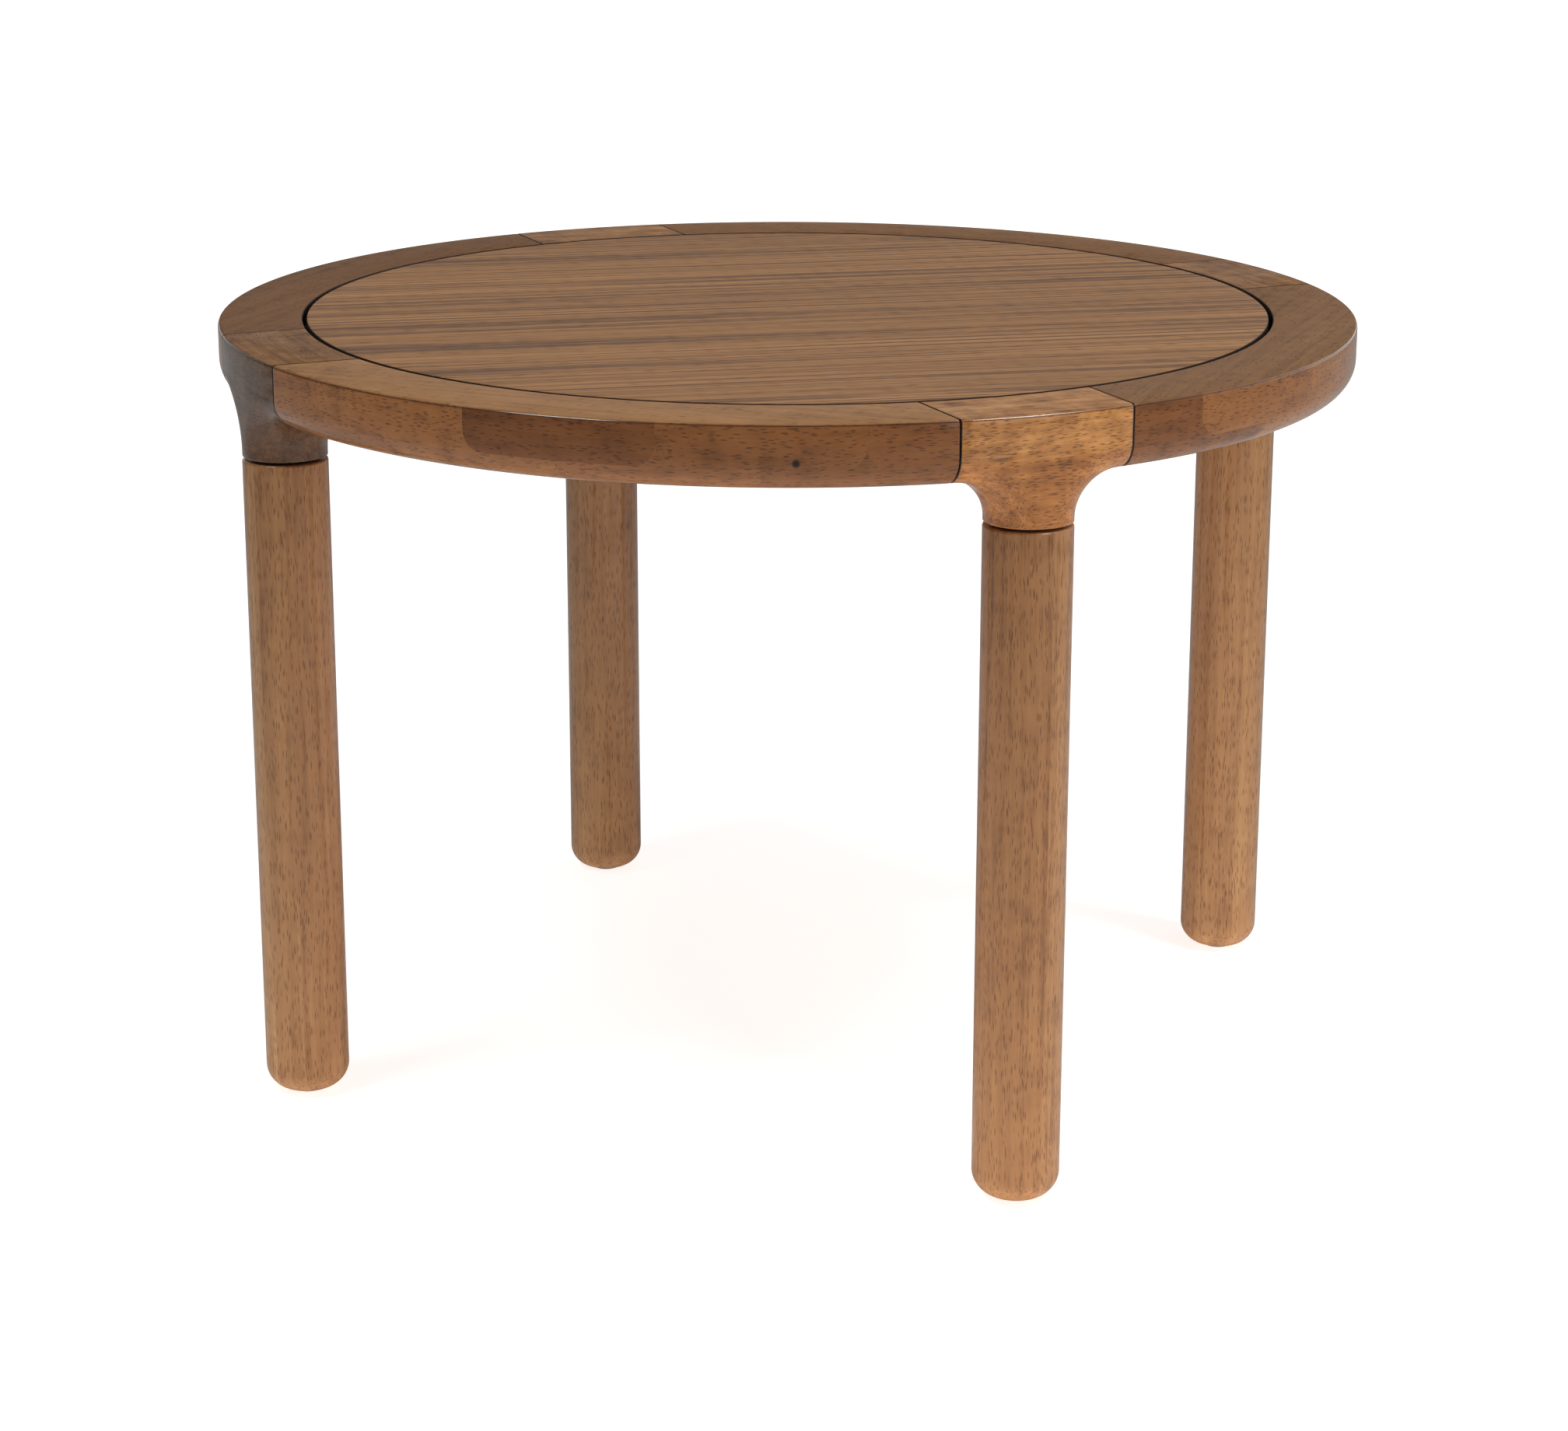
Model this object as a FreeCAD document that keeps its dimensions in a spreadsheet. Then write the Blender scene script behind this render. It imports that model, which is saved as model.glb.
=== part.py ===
# Low round table with four straight legs that screw out by hand.
# A round veneered panel lies in a ring of solid wood, which four leg blocks interrupt.
# Z is up, the floor is at zero and the middle of the table stands over the origin.
import FreeCAD, Part
import math
import os
import Sketcher

os.makedirs("parts", exist_ok=True)

doc = FreeCAD.newDocument("table")
sizes = doc.addObject("Spreadsheet::Sheet", "sizes")

# Sizes in millimetres, and angles in degrees. Each is written once.
SIZES = {
    "table_radius": 350,
    "table_height": 465,
    "ring_width": 51.2,
    "ring_thickness": 38,
    "under_round": 17,
    "top_round": 2.5,
    "panel_thickness": 18,
    "panel_gap": 2.4,
    "panel_round": 0.8,
    "ledge_width": 12,
    "ledge_round": 3,
    "block_width": 105,
    "seam_gap": 0.3,
    "seam_land": 3.5,
    "neck_radius": 25,
    "neck_land": 2,
    "neck_cone_rise": 8,
    "neck_cone_flare": 4.5,
    "leg_radius": 25.4,
    "leg_gap": 2,
    "leg_top_round": 1.5,
    "foot_round": 15.4,
    "glide_thickness": 1.5,
    "glide_round": 0.5,
    "pin_radius": 2,
    "pin_length": 12,
    "press_clearance": 0.1,
    "turn_clearance": 0.3,
    "bolt_radius": 4,
    "bolt_chamfer": 0.8,
    "bolt_in_leg": 35,
    "bolt_in_block": 22,
    "bolt_point": 5,
    "insert_radius": 7,
    "insert_length": 25,
    "insert_chamfer": 0.6,
    "washer_radius": 20,
    "dowel_radius": 4,
    "dowel_length": 40,
    "dowel_spread": 12,
    "dowel_depth": 17,
    "screw_radius": 2,
    "screw_grip": 12,
    "screw_head_radius": 4,
    "screw_head_height": 2.5,
    "screw_socket_depth": 12,
    "screw_spread_angle": 22,
    "quarter_turn": 90,
    "full_turn": 360,
}

# Sizes that follow from the ones above.
DERIVED = {
    "ring_inner_radius": "table_radius - ring_width",
    "panel_radius": "table_radius - ring_width - panel_gap",
    "ledge_inner_radius": "table_radius - ring_width - ledge_width",
    "ring_bottom": "table_height - ring_thickness",
    "panel_bottom": "table_height - panel_thickness",
    "block_half": "block_width / 2",
    "flank_radius": "block_width / 2 - neck_radius - seam_land",
    "block_bottom": "table_height - ring_thickness - flank_radius - neck_land",
    "leg_circle_radius": "table_radius - neck_radius",
    "leg_top": "block_bottom - leg_gap",
    "foot_flat_radius": "leg_radius - foot_round",
    "leg_hole_radius": "bolt_radius + press_clearance",
    "leg_hole_depth": "bolt_in_leg + press_clearance",
    "pin_hole_radius": "pin_radius + press_clearance",
    "pin_hole_depth": "pin_length + press_clearance",
    "insert_hole_radius": "insert_radius + press_clearance",
    "insert_hole_depth": "insert_length + press_clearance",
    "bore_radius": "bolt_radius + turn_clearance",
    "dowel_hole_radius": "dowel_radius + press_clearance",
    "dowel_half": "dowel_length / 2",
    "dowel_hole_reach": "dowel_length / 2 + press_clearance",
    "dowel_height": "table_height - dowel_depth",
    "screw_circle_radius": "ledge_inner_radius + ledge_width / 2",
    "screw_hole_radius": "screw_radius + press_clearance",
    "screw_socket_radius": "screw_head_radius + turn_clearance",
    "screw_seat": "ring_bottom + screw_socket_depth",
    "screw_tip": "panel_bottom + screw_grip",
}

row = 0
for name, value in SIZES.items():
    row += 1
    sizes.set("A%d" % row, name)
    sizes.set("B%d" % row, str(value))
    sizes.setAlias("B%d" % row, name)
for name, formula in DERIVED.items():
    row += 1
    sizes.set("A%d" % row, name)
    sizes.set("B%d" % row, "=" + formula)
    sizes.setAlias("B%d" % row, name)
doc.recompute()


def size(name):
    """The number a named size has in the sheet."""
    return float(getattr(sizes, name))


def plain(expression):
    """The number an expression of named sizes has."""
    words = {word: size(word) for word in list(SIZES) + list(DERIVED)}
    terms = expression.replace("(", " ( ").replace(")", " ) ").split()
    return tally(terms, words)


def tally(terms, words):
    """Adds and subtracts the terms of a simple expression."""
    total = 0.0
    sign = 1.0
    for term in terms:
        if term == "+":
            sign = 1.0
        elif term == "-":
            sign = -1.0
        else:
            total += sign * (words[term] if term in words else float(term))
            sign = 1.0
    return total


def bound(expression):
    """The same expression as the sheet names it."""
    return " ".join("sizes." + t if t in SIZES or t in DERIVED else t for t in expression.split())


def new_body(label):
    body = doc.addObject("PartDesign::Body", label)
    body.Label = label
    return body


def plane(body, role):
    return next(item for item in body.Origin.OriginFeatures if item.Role == role)


def new_sketch(body, role, name):
    sketch = body.newObject("Sketcher::SketchObject", name)
    sketch.AttachmentSupport = [(plane(body, role), "")]
    sketch.MapMode = "FlatFace"
    return sketch


def pin(sketch, geometry, point, expressions):
    """Holds one point of a sketch at two expressions of named sizes."""
    for kind, text in zip(("DistanceX", "DistanceY"), expressions):
        if text == "0":
            axis = -2 if kind == "DistanceX" else -1
            sketch.addConstraint(Sketcher.Constraint("PointOnObject", geometry, point, axis))
            continue
        index = sketch.addConstraint(Sketcher.Constraint(kind, -1, 1, geometry, point, plain(text)))
        sketch.setExpression("Constraints[%d]" % index, bound(text))


def outline(sketch, corners):
    """Closed outline through the corners. A third entry (radius, turn) bows the side that follows."""
    spots = [FreeCAD.Vector(plain(corner[0]), plain(corner[1]), 0) for corner in corners]
    first = None
    for number, corner in enumerate(corners):
        start = spots[number]
        end = spots[(number + 1) % len(spots)]
        if len(corner) > 2:
            side = bow(start, end, plain(corner[2][0]), corner[2][1])
        else:
            side = Part.LineSegment(start, end)
        index = sketch.addGeometry(side, False)
        first = index if first is None else first
    count = len(corners)
    ends = []
    for number, corner in enumerate(corners):
        swap = len(corner) > 2 and corner[2][1] < 0
        ends.append((2, 1) if swap else (1, 2))
    for number in range(count):
        following = (number + 1) % count
        sketch.addConstraint(
            Sketcher.Constraint(
                "Coincident", first + number, ends[number][1], first + following, ends[following][0]
            )
        )
    for number, corner in enumerate(corners):
        pin(sketch, first + number, ends[number][0], corner[:2])
        if len(corner) > 2:
            radius = plain(corner[2][0])
            index = sketch.addConstraint(Sketcher.Constraint("Radius", first + number, radius))
            sketch.setExpression("Constraints[%d]" % index, bound(corner[2][0]))


def bow(start, end, radius, turn):
    """Arc from start to end; turn is 1 when it runs counter-clockwise and -1 when clockwise."""
    middle = (start + end) * 0.5
    half = (end - start) * 0.5
    rise = math.sqrt(max(radius**2 - half.Length**2, 0.0))
    across = FreeCAD.Vector(-half.y, half.x, 0)
    across.normalize()
    centre = middle + across * rise * turn
    first, last = (start, end) if turn > 0 else (end, start)
    angle_first = math.atan2(first.y - centre.y, first.x - centre.x)
    angle_last = math.atan2(last.y - centre.y, last.x - centre.x)
    circle = Part.Circle(centre, FreeCAD.Vector(0, 0, 1), radius)
    return Part.ArcOfCircle(circle, angle_first, angle_last)


def rings(sketch, spots, radius):
    """Circles of one named radius at spots given as expressions."""
    for spot in spots:
        centre = FreeCAD.Vector(plain(spot[0]), plain(spot[1]), 0)
        circle = Part.Circle(centre, FreeCAD.Vector(0, 0, 1), size(radius))
        index = sketch.addGeometry(circle, False)
        pin(sketch, index, 3, spot)
        radius_index = sketch.addConstraint(Sketcher.Constraint("Radius", index, size(radius)))
        sketch.setExpression("Constraints[%d]" % radius_index, "sizes." + radius)


def turned(body, kind, name, sketch, angle="full_turn"):
    """Revolution or groove about the upright axis of its sketch."""
    feature = body.newObject("PartDesign::" + kind, name)
    feature.Profile = sketch
    feature.ReferenceAxis = (sketch, ["V_Axis"])
    feature.Midplane = True
    feature.setExpression("Angle", "sizes." + angle)
    sketch.Visibility = False
    body.Tip = feature
    return feature


def pushed(body, kind, name, sketch, length, backwards):
    """Pad or pocket of a sketch over an expression of named sizes."""
    feature = body.newObject("PartDesign::" + kind, name)
    feature.Profile = sketch
    feature.Reversed = backwards
    feature.setExpression("Length", bound(length))
    sketch.Visibility = False
    body.Tip = feature
    return feature


def mirrored(body, name, feature):
    """The same feature once more on the other side of the body's own middle plane."""
    copy = body.newObject("PartDesign::Mirrored", name)
    copy.Originals = [feature]
    copy.MirrorPlane = (plane(body, "YZ_Plane"), [""])
    body.Tip = copy
    return copy


def rounded(body, name, edges, radius):
    """Fillet of one named radius on edges of the body's last feature."""
    base = body.Tip
    feature = body.newObject("PartDesign::Fillet", name)
    feature.Base = (base, edges)
    feature.setExpression("Radius", "sizes." + radius)
    body.Tip = feature
    return feature


def facing(angle):
    """Turn about the upright axis that brings the +Y side of a piece to an angle."""
    return FreeCAD.Rotation(FreeCAD.Vector(0, 0, 1), angle - size("quarter_turn"))


QUARTER = size("quarter_turn")
LEG_ANGLES = {
    "front_left": -1.5 * QUARTER,
    "front_right": -0.5 * QUARTER,
    "back_right": 0.5 * QUARTER,
    "back_left": 1.5 * QUARTER,
}
SEGMENT_ANGLES = {
    "front": -1.0 * QUARTER,
    "right": 0.0 * QUARTER,
    "back": 1.0 * QUARTER,
    "left": 2.0 * QUARTER,
}


# Top panel
panel = new_body("top_panel")
panel_sketch = new_sketch(panel, "XZ_Plane", "panel_section")
outline(
    panel_sketch,
    [
        ("0", "panel_bottom"),
        ("panel_radius", "panel_bottom"),
        ("panel_radius", "table_height - panel_round", ("panel_round", 1)),
        ("panel_radius - panel_round", "table_height"),
        ("0", "table_height"),
    ],
)
turned(panel, "Revolution", "panel_turned", panel_sketch)
doc.recompute()

# Pilot holes under the panel, one for each screw of one ring segment, repeated for four
SCREW_ANGLES = (-size("screw_spread_angle"), 0.0, size("screw_spread_angle"))


def screw_spots(sketch, radius):
    """Circles of one named radius where the screws of one segment go up."""
    for angle in SCREW_ANGLES:
        across = size("screw_circle_radius") * math.sin(math.radians(angle))
        along = size("screw_circle_radius") * math.cos(math.radians(angle))
        circle = Part.Circle(FreeCAD.Vector(across, along, 0), FreeCAD.Vector(0, 0, 1), size(radius))
        index = sketch.addGeometry(circle, False)
        if angle == 0.0:
            sketch.addConstraint(Sketcher.Constraint("PointOnObject", index, 3, -2))
        else:
            number = sketch.addConstraint(Sketcher.Constraint("DistanceX", -1, 1, index, 3, across))
            sign = "" if angle > 0 else "-"
            sketch.setExpression(
                "Constraints[%d]" % number,
                sign + "sizes.screw_circle_radius * sin(sizes.screw_spread_angle * 1 deg)",
            )
        number = sketch.addConstraint(Sketcher.Constraint("DistanceY", -1, 1, index, 3, along))
        share = "" if angle == 0.0 else " * cos(sizes.screw_spread_angle * 1 deg)"
        sketch.setExpression("Constraints[%d]" % number, "sizes.screw_circle_radius" + share)
        number = sketch.addConstraint(Sketcher.Constraint("Radius", index, size(radius)))
        sketch.setExpression("Constraints[%d]" % number, "sizes." + radius)


pilot_sketch = new_sketch(panel, "XY_Plane", "pilot_plan")
pilot_sketch.setExpression(".AttachmentOffset.Base.z", "sizes.panel_bottom")
screw_spots(pilot_sketch, "screw_hole_radius")
pilots = pushed(panel, "Pocket", "pilots", pilot_sketch, "screw_grip + press_clearance", True)
pilot_pattern = panel.newObject("PartDesign::PolarPattern", "pilot_pattern")
pilot_pattern.Originals = [pilots]
pilot_pattern.Axis = (pilot_sketch, ["N_Axis"])
pilot_pattern.Angle = size("full_turn")
pilot_pattern.Occurrences = len(SEGMENT_ANGLES)
panel.Tip = pilot_pattern


# Ring segments
def ring_segment(label, angle):
    """Curved rail with a ledge for the panel, cut parallel to the leg blocks at both ends."""
    body = new_body(label)
    section = new_sketch(body, "YZ_Plane", label + "_section")
    outline(
        section,
        [
            ("table_radius", "ring_bottom + under_round"),
            ("table_radius", "table_height - top_round", ("top_round", 1)),
            ("table_radius - top_round", "table_height"),
            ("ring_inner_radius + panel_round", "table_height", ("panel_round", 1)),
            ("ring_inner_radius", "table_height - panel_round"),
            ("ring_inner_radius", "panel_bottom"),
            ("ledge_inner_radius", "panel_bottom"),
            ("ledge_inner_radius", "ring_bottom + ledge_round", ("ledge_round", 1)),
            ("ledge_inner_radius + ledge_round", "ring_bottom"),
            ("table_radius - under_round", "ring_bottom", ("under_round", 1)),
        ],
    )
    turned(body, "Revolution", label + "_turned", section, "quarter_turn")
    # End strip, as wide as the leg block and the seams beside it
    strip = new_sketch(body, "XY_Plane", label + "_strip")
    strip.AttachmentOffset = FreeCAD.Placement(
        FreeCAD.Vector(0, 0, 0), FreeCAD.Rotation(FreeCAD.Vector(0, 0, 1), -0.5 * QUARTER)
    )
    outline(
        strip,
        [
            ("0 - block_half - seam_gap", "table_radius - ring_width - ring_width"),
            ("block_half + seam_gap", "table_radius - ring_width - ring_width"),
            ("block_half + seam_gap", "table_radius + ring_width"),
            ("0 - block_half - seam_gap", "table_radius + ring_width"),
        ],
    )
    end = pushed(body, "Pocket", label + "_end", strip, "table_height + ring_width", True)
    mirrored(body, label + "_ends", end)
    # Dowel holes, square to the end faces
    holes = new_sketch(body, "XZ_Plane", label + "_dowel_plan")
    holes.AttachmentOffset = FreeCAD.Placement(
        FreeCAD.Vector(0, 0, 0), FreeCAD.Rotation(FreeCAD.Vector(0, 1, 0), 0.5 * QUARTER)
    )
    rings(
        holes,
        [
            ("leg_circle_radius - dowel_spread", "dowel_height"),
            ("leg_circle_radius + dowel_spread", "dowel_height"),
        ],
        "dowel_hole_radius",
    )
    drilled = pushed(
        body, "Pocket", label + "_dowels", holes, "block_half + seam_gap + dowel_hole_reach", False
    )
    mirrored(body, label + "_dowels_both", drilled)
    # Screw sockets and clearance holes through the ledge
    for part_name, radius, length in (
        ("socket", "screw_socket_radius", "screw_socket_depth"),
        ("clear", "screw_hole_radius", "ring_thickness"),
    ):
        plan = new_sketch(body, "XY_Plane", label + "_" + part_name + "_plan")
        plan.setExpression(".AttachmentOffset.Base.z", "sizes.ring_bottom")
        screw_spots(plan, radius)
        pushed(body, "Pocket", label + "_" + part_name, plan, length, True)
    body.Placement = FreeCAD.Placement(FreeCAD.Vector(0, 0, 0), facing(angle))
    return body


segments = []
for place, angle in SEGMENT_ANGLES.items():
    segments.append(ring_segment("ring_segment_" + place, angle))


# Leg blocks
def lower_edges(shape):
    """Names of the edges where the flanks and the underside meet the outer and inner faces."""
    names = []
    outer = size("table_radius")
    inner = size("leg_circle_radius") - size("neck_radius")
    low = size("block_bottom")
    high = size("ring_bottom")
    slack = size("press_clearance")
    for number, edge in enumerate(shape.Edges):
        reach = [math.hypot(vertex.X, vertex.Y) for vertex in edge.Vertexes]
        heights = [vertex.Z for vertex in edge.Vertexes]
        widths = [abs(vertex.X) for vertex in edge.Vertexes]
        on_face = all(abs(r - outer) < slack for r in reach) or all(abs(r - inner) < slack for r in reach)
        below = all(z < high + slack for z in heights)
        level_low = all(z < low + slack for z in heights)
        at_seam = all(abs(w - size("block_half")) < slack for w in widths)
        if on_face and below and not level_low and not at_seam:
            names.append("Edge%d" % (number + 1))
    return names


def leg_block(label, angle):
    """Block that ends two ring segments and narrows through concave flanks to a round neck."""
    body = new_body(label)
    front = new_sketch(body, "XZ_Plane", label + "_front")
    outline(
        front,
        [
            ("block_half", "ring_bottom"),
            ("block_half", "table_height"),
            ("0 - block_half", "table_height"),
            ("0 - block_half", "ring_bottom"),
            ("0 - neck_radius - flank_radius", "ring_bottom", ("flank_radius", -1)),
            ("0 - neck_radius", "ring_bottom - flank_radius"),
            ("0 - neck_radius", "block_bottom"),
            ("neck_radius", "block_bottom"),
            ("neck_radius", "ring_bottom - flank_radius", ("flank_radius", -1)),
            ("neck_radius + flank_radius", "ring_bottom"),
        ],
    )
    pushed(body, "Pad", label + "_pad", front, "table_radius + ring_width", True)
    # Outer face with the rounded top edge, and inner face of the neck
    outside = new_sketch(body, "YZ_Plane", label + "_outside")
    outline(
        outside,
        [
            ("table_radius", "0"),
            ("table_radius + ring_width + ring_width", "0"),
            ("table_radius + ring_width + ring_width", "table_height + ring_width"),
            ("table_radius - top_round", "table_height + ring_width"),
            ("table_radius - top_round", "table_height", ("top_round", -1)),
            ("table_radius", "table_height - top_round"),
        ],
    )
    turned(body, "Groove", label + "_outer_face", outside)
    inside = new_sketch(body, "YZ_Plane", label + "_inside")
    outline(
        inside,
        [
            ("0", "0"),
            ("leg_circle_radius - neck_radius", "0"),
            ("leg_circle_radius - neck_radius", "table_height + ring_width"),
            ("0", "table_height + ring_width"),
        ],
    )
    turned(body, "Groove", label + "_inner_face", inside)
    doc.recompute()
    rounded(body, label + "_rounds", lower_edges(body.Tip.Shape), "under_round")
    # The neck is turned to a circle where the leg meets it
    cone = new_sketch(body, "YZ_Plane", label + "_cone")
    cone.setExpression(".AttachmentOffset.Base.x", "sizes.leg_circle_radius")
    outline(
        cone,
        [
            ("neck_radius", "block_bottom"),
            ("neck_radius + ring_width", "block_bottom"),
            ("neck_radius + ring_width", "block_bottom + neck_cone_rise"),
            ("neck_radius + neck_cone_flare", "block_bottom + neck_cone_rise"),
        ],
    )
    turned(body, "Groove", label + "_neck", cone)
    # Ledge that carries the panel between the segments
    ledge = new_sketch(body, "XY_Plane", label + "_ledge_plan")
    ledge.setExpression(".AttachmentOffset.Base.z", "sizes.ring_bottom")
    outline(
        ledge,
        [
            ("0 - block_half", "ledge_inner_radius - ledge_width"),
            ("block_half", "ledge_inner_radius - ledge_width"),
            ("block_half", "leg_circle_radius - ledge_round"),
            ("0 - block_half", "leg_circle_radius - ledge_round"),
        ],
    )
    pushed(body, "Pad", label + "_ledge", ledge, "ring_thickness", False)
    rabbet = new_sketch(body, "YZ_Plane", label + "_rabbet")
    outline(
        rabbet,
        [
            ("0", "0"),
            ("ledge_inner_radius + ledge_round", "0"),
            ("ledge_inner_radius + ledge_round", "ring_bottom", ("ledge_round", -1)),
            ("ledge_inner_radius", "ring_bottom + ledge_round"),
            ("ledge_inner_radius", "panel_bottom"),
            ("ring_inner_radius", "panel_bottom"),
            ("ring_inner_radius", "table_height - panel_round", ("panel_round", -1)),
            ("ring_inner_radius + panel_round", "table_height"),
            ("ring_inner_radius + panel_round", "table_height + ring_width"),
            ("0", "table_height + ring_width"),
        ],
    )
    turned(body, "Groove", label + "_panel_seat", rabbet)
    # Hole for the threaded insert, from below
    bore = new_sketch(body, "XY_Plane", label + "_insert_plan")
    bore.setExpression(".AttachmentOffset.Base.z", "sizes.block_bottom")
    rings(bore, [("0", "leg_circle_radius")], "insert_hole_radius")
    pushed(body, "Pocket", label + "_insert_hole", bore, "insert_hole_depth", True)
    # Dowel holes on both seams
    holes = new_sketch(body, "YZ_Plane", label + "_dowel_plan")
    holes.setExpression(".AttachmentOffset.Base.z", "sizes.block_half")
    rings(
        holes,
        [
            ("leg_circle_radius - dowel_spread", "dowel_height"),
            ("leg_circle_radius + dowel_spread", "dowel_height"),
        ],
        "dowel_hole_radius",
    )
    drilled = pushed(body, "Pocket", label + "_dowels", holes, "dowel_hole_reach", False)
    mirrored(body, label + "_dowels_both", drilled)
    body.Placement = FreeCAD.Placement(FreeCAD.Vector(0, 0, 0), facing(angle))
    return body


blocks = []
for place, angle in LEG_ANGLES.items():
    blocks.append(leg_block("leg_block_" + place, angle))


# Turned pieces that share each leg's axis
def turned_piece(label, angle, corners):
    """Round piece on one leg's axis, its section given from the axis outwards."""
    body = new_body(label)
    section = new_sketch(body, "XZ_Plane", label + "_section")
    outline(section, corners)
    turned(body, "Revolution", label + "_turned", section)
    out = FreeCAD.Vector(math.cos(math.radians(angle)), math.sin(math.radians(angle)), 0)
    body.Placement = FreeCAD.Placement(out * size("leg_circle_radius"), facing(angle))
    body.setExpression(".Placement.Base.x", "sizes.leg_circle_radius * cos(%g deg)" % angle)
    body.setExpression(".Placement.Base.y", "sizes.leg_circle_radius * sin(%g deg)" % angle)
    return body


LEG = [
    ("pin_hole_radius", "glide_thickness"),
    ("foot_flat_radius", "glide_thickness", ("foot_round", 1)),
    ("leg_radius", "glide_thickness + foot_round"),
    ("leg_radius", "leg_top - leg_top_round", ("leg_top_round", 1)),
    ("leg_radius - leg_top_round", "leg_top"),
    ("leg_hole_radius", "leg_top"),
    ("leg_hole_radius", "leg_top - leg_hole_depth"),
    ("0", "leg_top - leg_hole_depth"),
    ("0", "glide_thickness + pin_hole_depth"),
    ("pin_hole_radius", "glide_thickness + pin_hole_depth"),
]
HANGER_BOLT = [
    ("0", "leg_top - bolt_in_leg"),
    ("bolt_chamfer", "leg_top - bolt_in_leg"),
    ("bolt_radius", "leg_top - bolt_in_leg + bolt_point"),
    ("bolt_radius", "block_bottom + bolt_in_block - bolt_chamfer"),
    ("bolt_radius - bolt_chamfer", "block_bottom + bolt_in_block"),
    ("0", "block_bottom + bolt_in_block"),
]
INSERT = [
    ("bore_radius", "block_bottom"),
    ("insert_radius - insert_chamfer", "block_bottom"),
    ("insert_radius", "block_bottom + insert_chamfer"),
    ("insert_radius", "block_bottom + insert_length"),
    ("bore_radius", "block_bottom + insert_length"),
]
WASHER = [
    ("bore_radius", "leg_top + turn_clearance"),
    ("washer_radius", "leg_top + turn_clearance"),
    ("washer_radius", "block_bottom - turn_clearance"),
    ("bore_radius", "block_bottom - turn_clearance"),
]
GLIDE = [
    ("0", "0"),
    ("foot_flat_radius - glide_round", "0", ("glide_round", 1)),
    ("foot_flat_radius", "glide_round"),
    ("foot_flat_radius", "glide_thickness"),
    ("pin_radius", "glide_thickness"),
    ("pin_radius", "glide_thickness + pin_length"),
    ("0", "glide_thickness + pin_length"),
]

turned_bodies = []
for place, angle in LEG_ANGLES.items():
    for stem, corners in (
        ("leg_", LEG),
        ("hanger_bolt_", HANGER_BOLT),
        ("threaded_insert_", INSERT),
        ("leg_washer_", WASHER),
        ("foot_glide_", GLIDE),
    ):
        turned_bodies.append(turned_piece(stem + place, angle, corners))


# Dowels across the eight seams
def rod(name, radius, height, base, along):
    """Round rod from a base point along a direction."""
    piece = doc.addObject("Part::Cylinder", name)
    piece.setExpression("Radius", "sizes." + radius)
    piece.setExpression("Height", height)
    turn = FreeCAD.Rotation(FreeCAD.Vector(0, 0, 1), along)
    piece.Placement = FreeCAD.Placement(base, turn)
    return piece


dowels = []
for place, angle in LEG_ANGLES.items():
    out = FreeCAD.Vector(math.cos(math.radians(angle)), math.sin(math.radians(angle)), 0)
    side = FreeCAD.Vector(-out.y, out.x, 0)
    for hand in (-1, 1):
        seam = size("block_half") + size("seam_gap") / 2
        for spread in (-1, 1):
            reach = size("leg_circle_radius") + spread * size("dowel_spread")
            start = out * reach + side * hand * (seam - size("dowel_half"))
            start.z = size("dowel_height")
            name = "dowel_%s_%d" % (place, len(dowels))
            dowels.append(rod(name, "dowel_radius", "sizes.dowel_length", start, side * hand))
dowel_set = doc.addObject("Part::Compound", "ring_dowels")
dowel_set.Label = "ring_dowels"
dowel_set.Links = dowels


# Screws that hold the panel down, up through the ledge
up = FreeCAD.Vector(0, 0, 1)
screws = []
for place, angle in SEGMENT_ANGLES.items():
    for turn in SCREW_ANGLES:
        heading = math.radians(angle + turn)
        spot = FreeCAD.Vector(math.cos(heading), math.sin(heading), 0) * size("screw_circle_radius")
        seat = FreeCAD.Vector(spot.x, spot.y, size("screw_seat"))
        low = FreeCAD.Vector(spot.x, spot.y, size("screw_seat") - size("screw_head_height"))
        number = len(screws)
        shank = rod("shank_%d" % number, "screw_radius", "sizes.screw_tip - sizes.screw_seat", seat, up)
        head = rod("head_%d" % number, "screw_head_radius", "sizes.screw_head_height", low, up)
        screw = doc.addObject("Part::Fuse", "screw_%d" % number)
        screw.Base = shank
        screw.Tool = head
        screws.append(screw)
screw_set = doc.addObject("Part::Compound", "panel_screws")
screw_set.Label = "panel_screws"
screw_set.Links = screws


# Check and write
doc.recompute()
nodes = [panel] + segments + blocks + turned_bodies + [dowel_set, screw_set]
for item in doc.Objects:
    if "Invalid" in item.State or "Error" in item.State:
        raise RuntimeError("not built: " + item.Name)
for node in nodes:
    if node.Shape.isNull() or not node.Shape.isValid():
        raise RuntimeError("bad shape: " + node.Label)
for node in nodes:
    node.Shape.exportStep("parts/%s.step" % node.Label)
    box = node.Shape.BoundBox
    print(
        "%-30s solids %d  box %.1f %.1f %.1f  to %.1f %.1f %.1f"
        % (node.Label, len(node.Shape.Solids), box.XMin, box.YMin, box.ZMin, box.XMax, box.YMax, box.ZMax)
    )
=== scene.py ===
# %% [markdown]
# A low round table: a veneered panel lies in a ring of solid wood, four leg blocks interrupt the
# ring, and four turned legs screw into the blocks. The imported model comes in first, because every
# piece made here has to stand where that model says, and ride on one of its bodies.

# %% Load the frame
from math import asin, cos, hypot, pi, radians, sin, sqrt

import bmesh
import bpy
import numpy as np
from mathutils import Matrix, Vector


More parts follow.
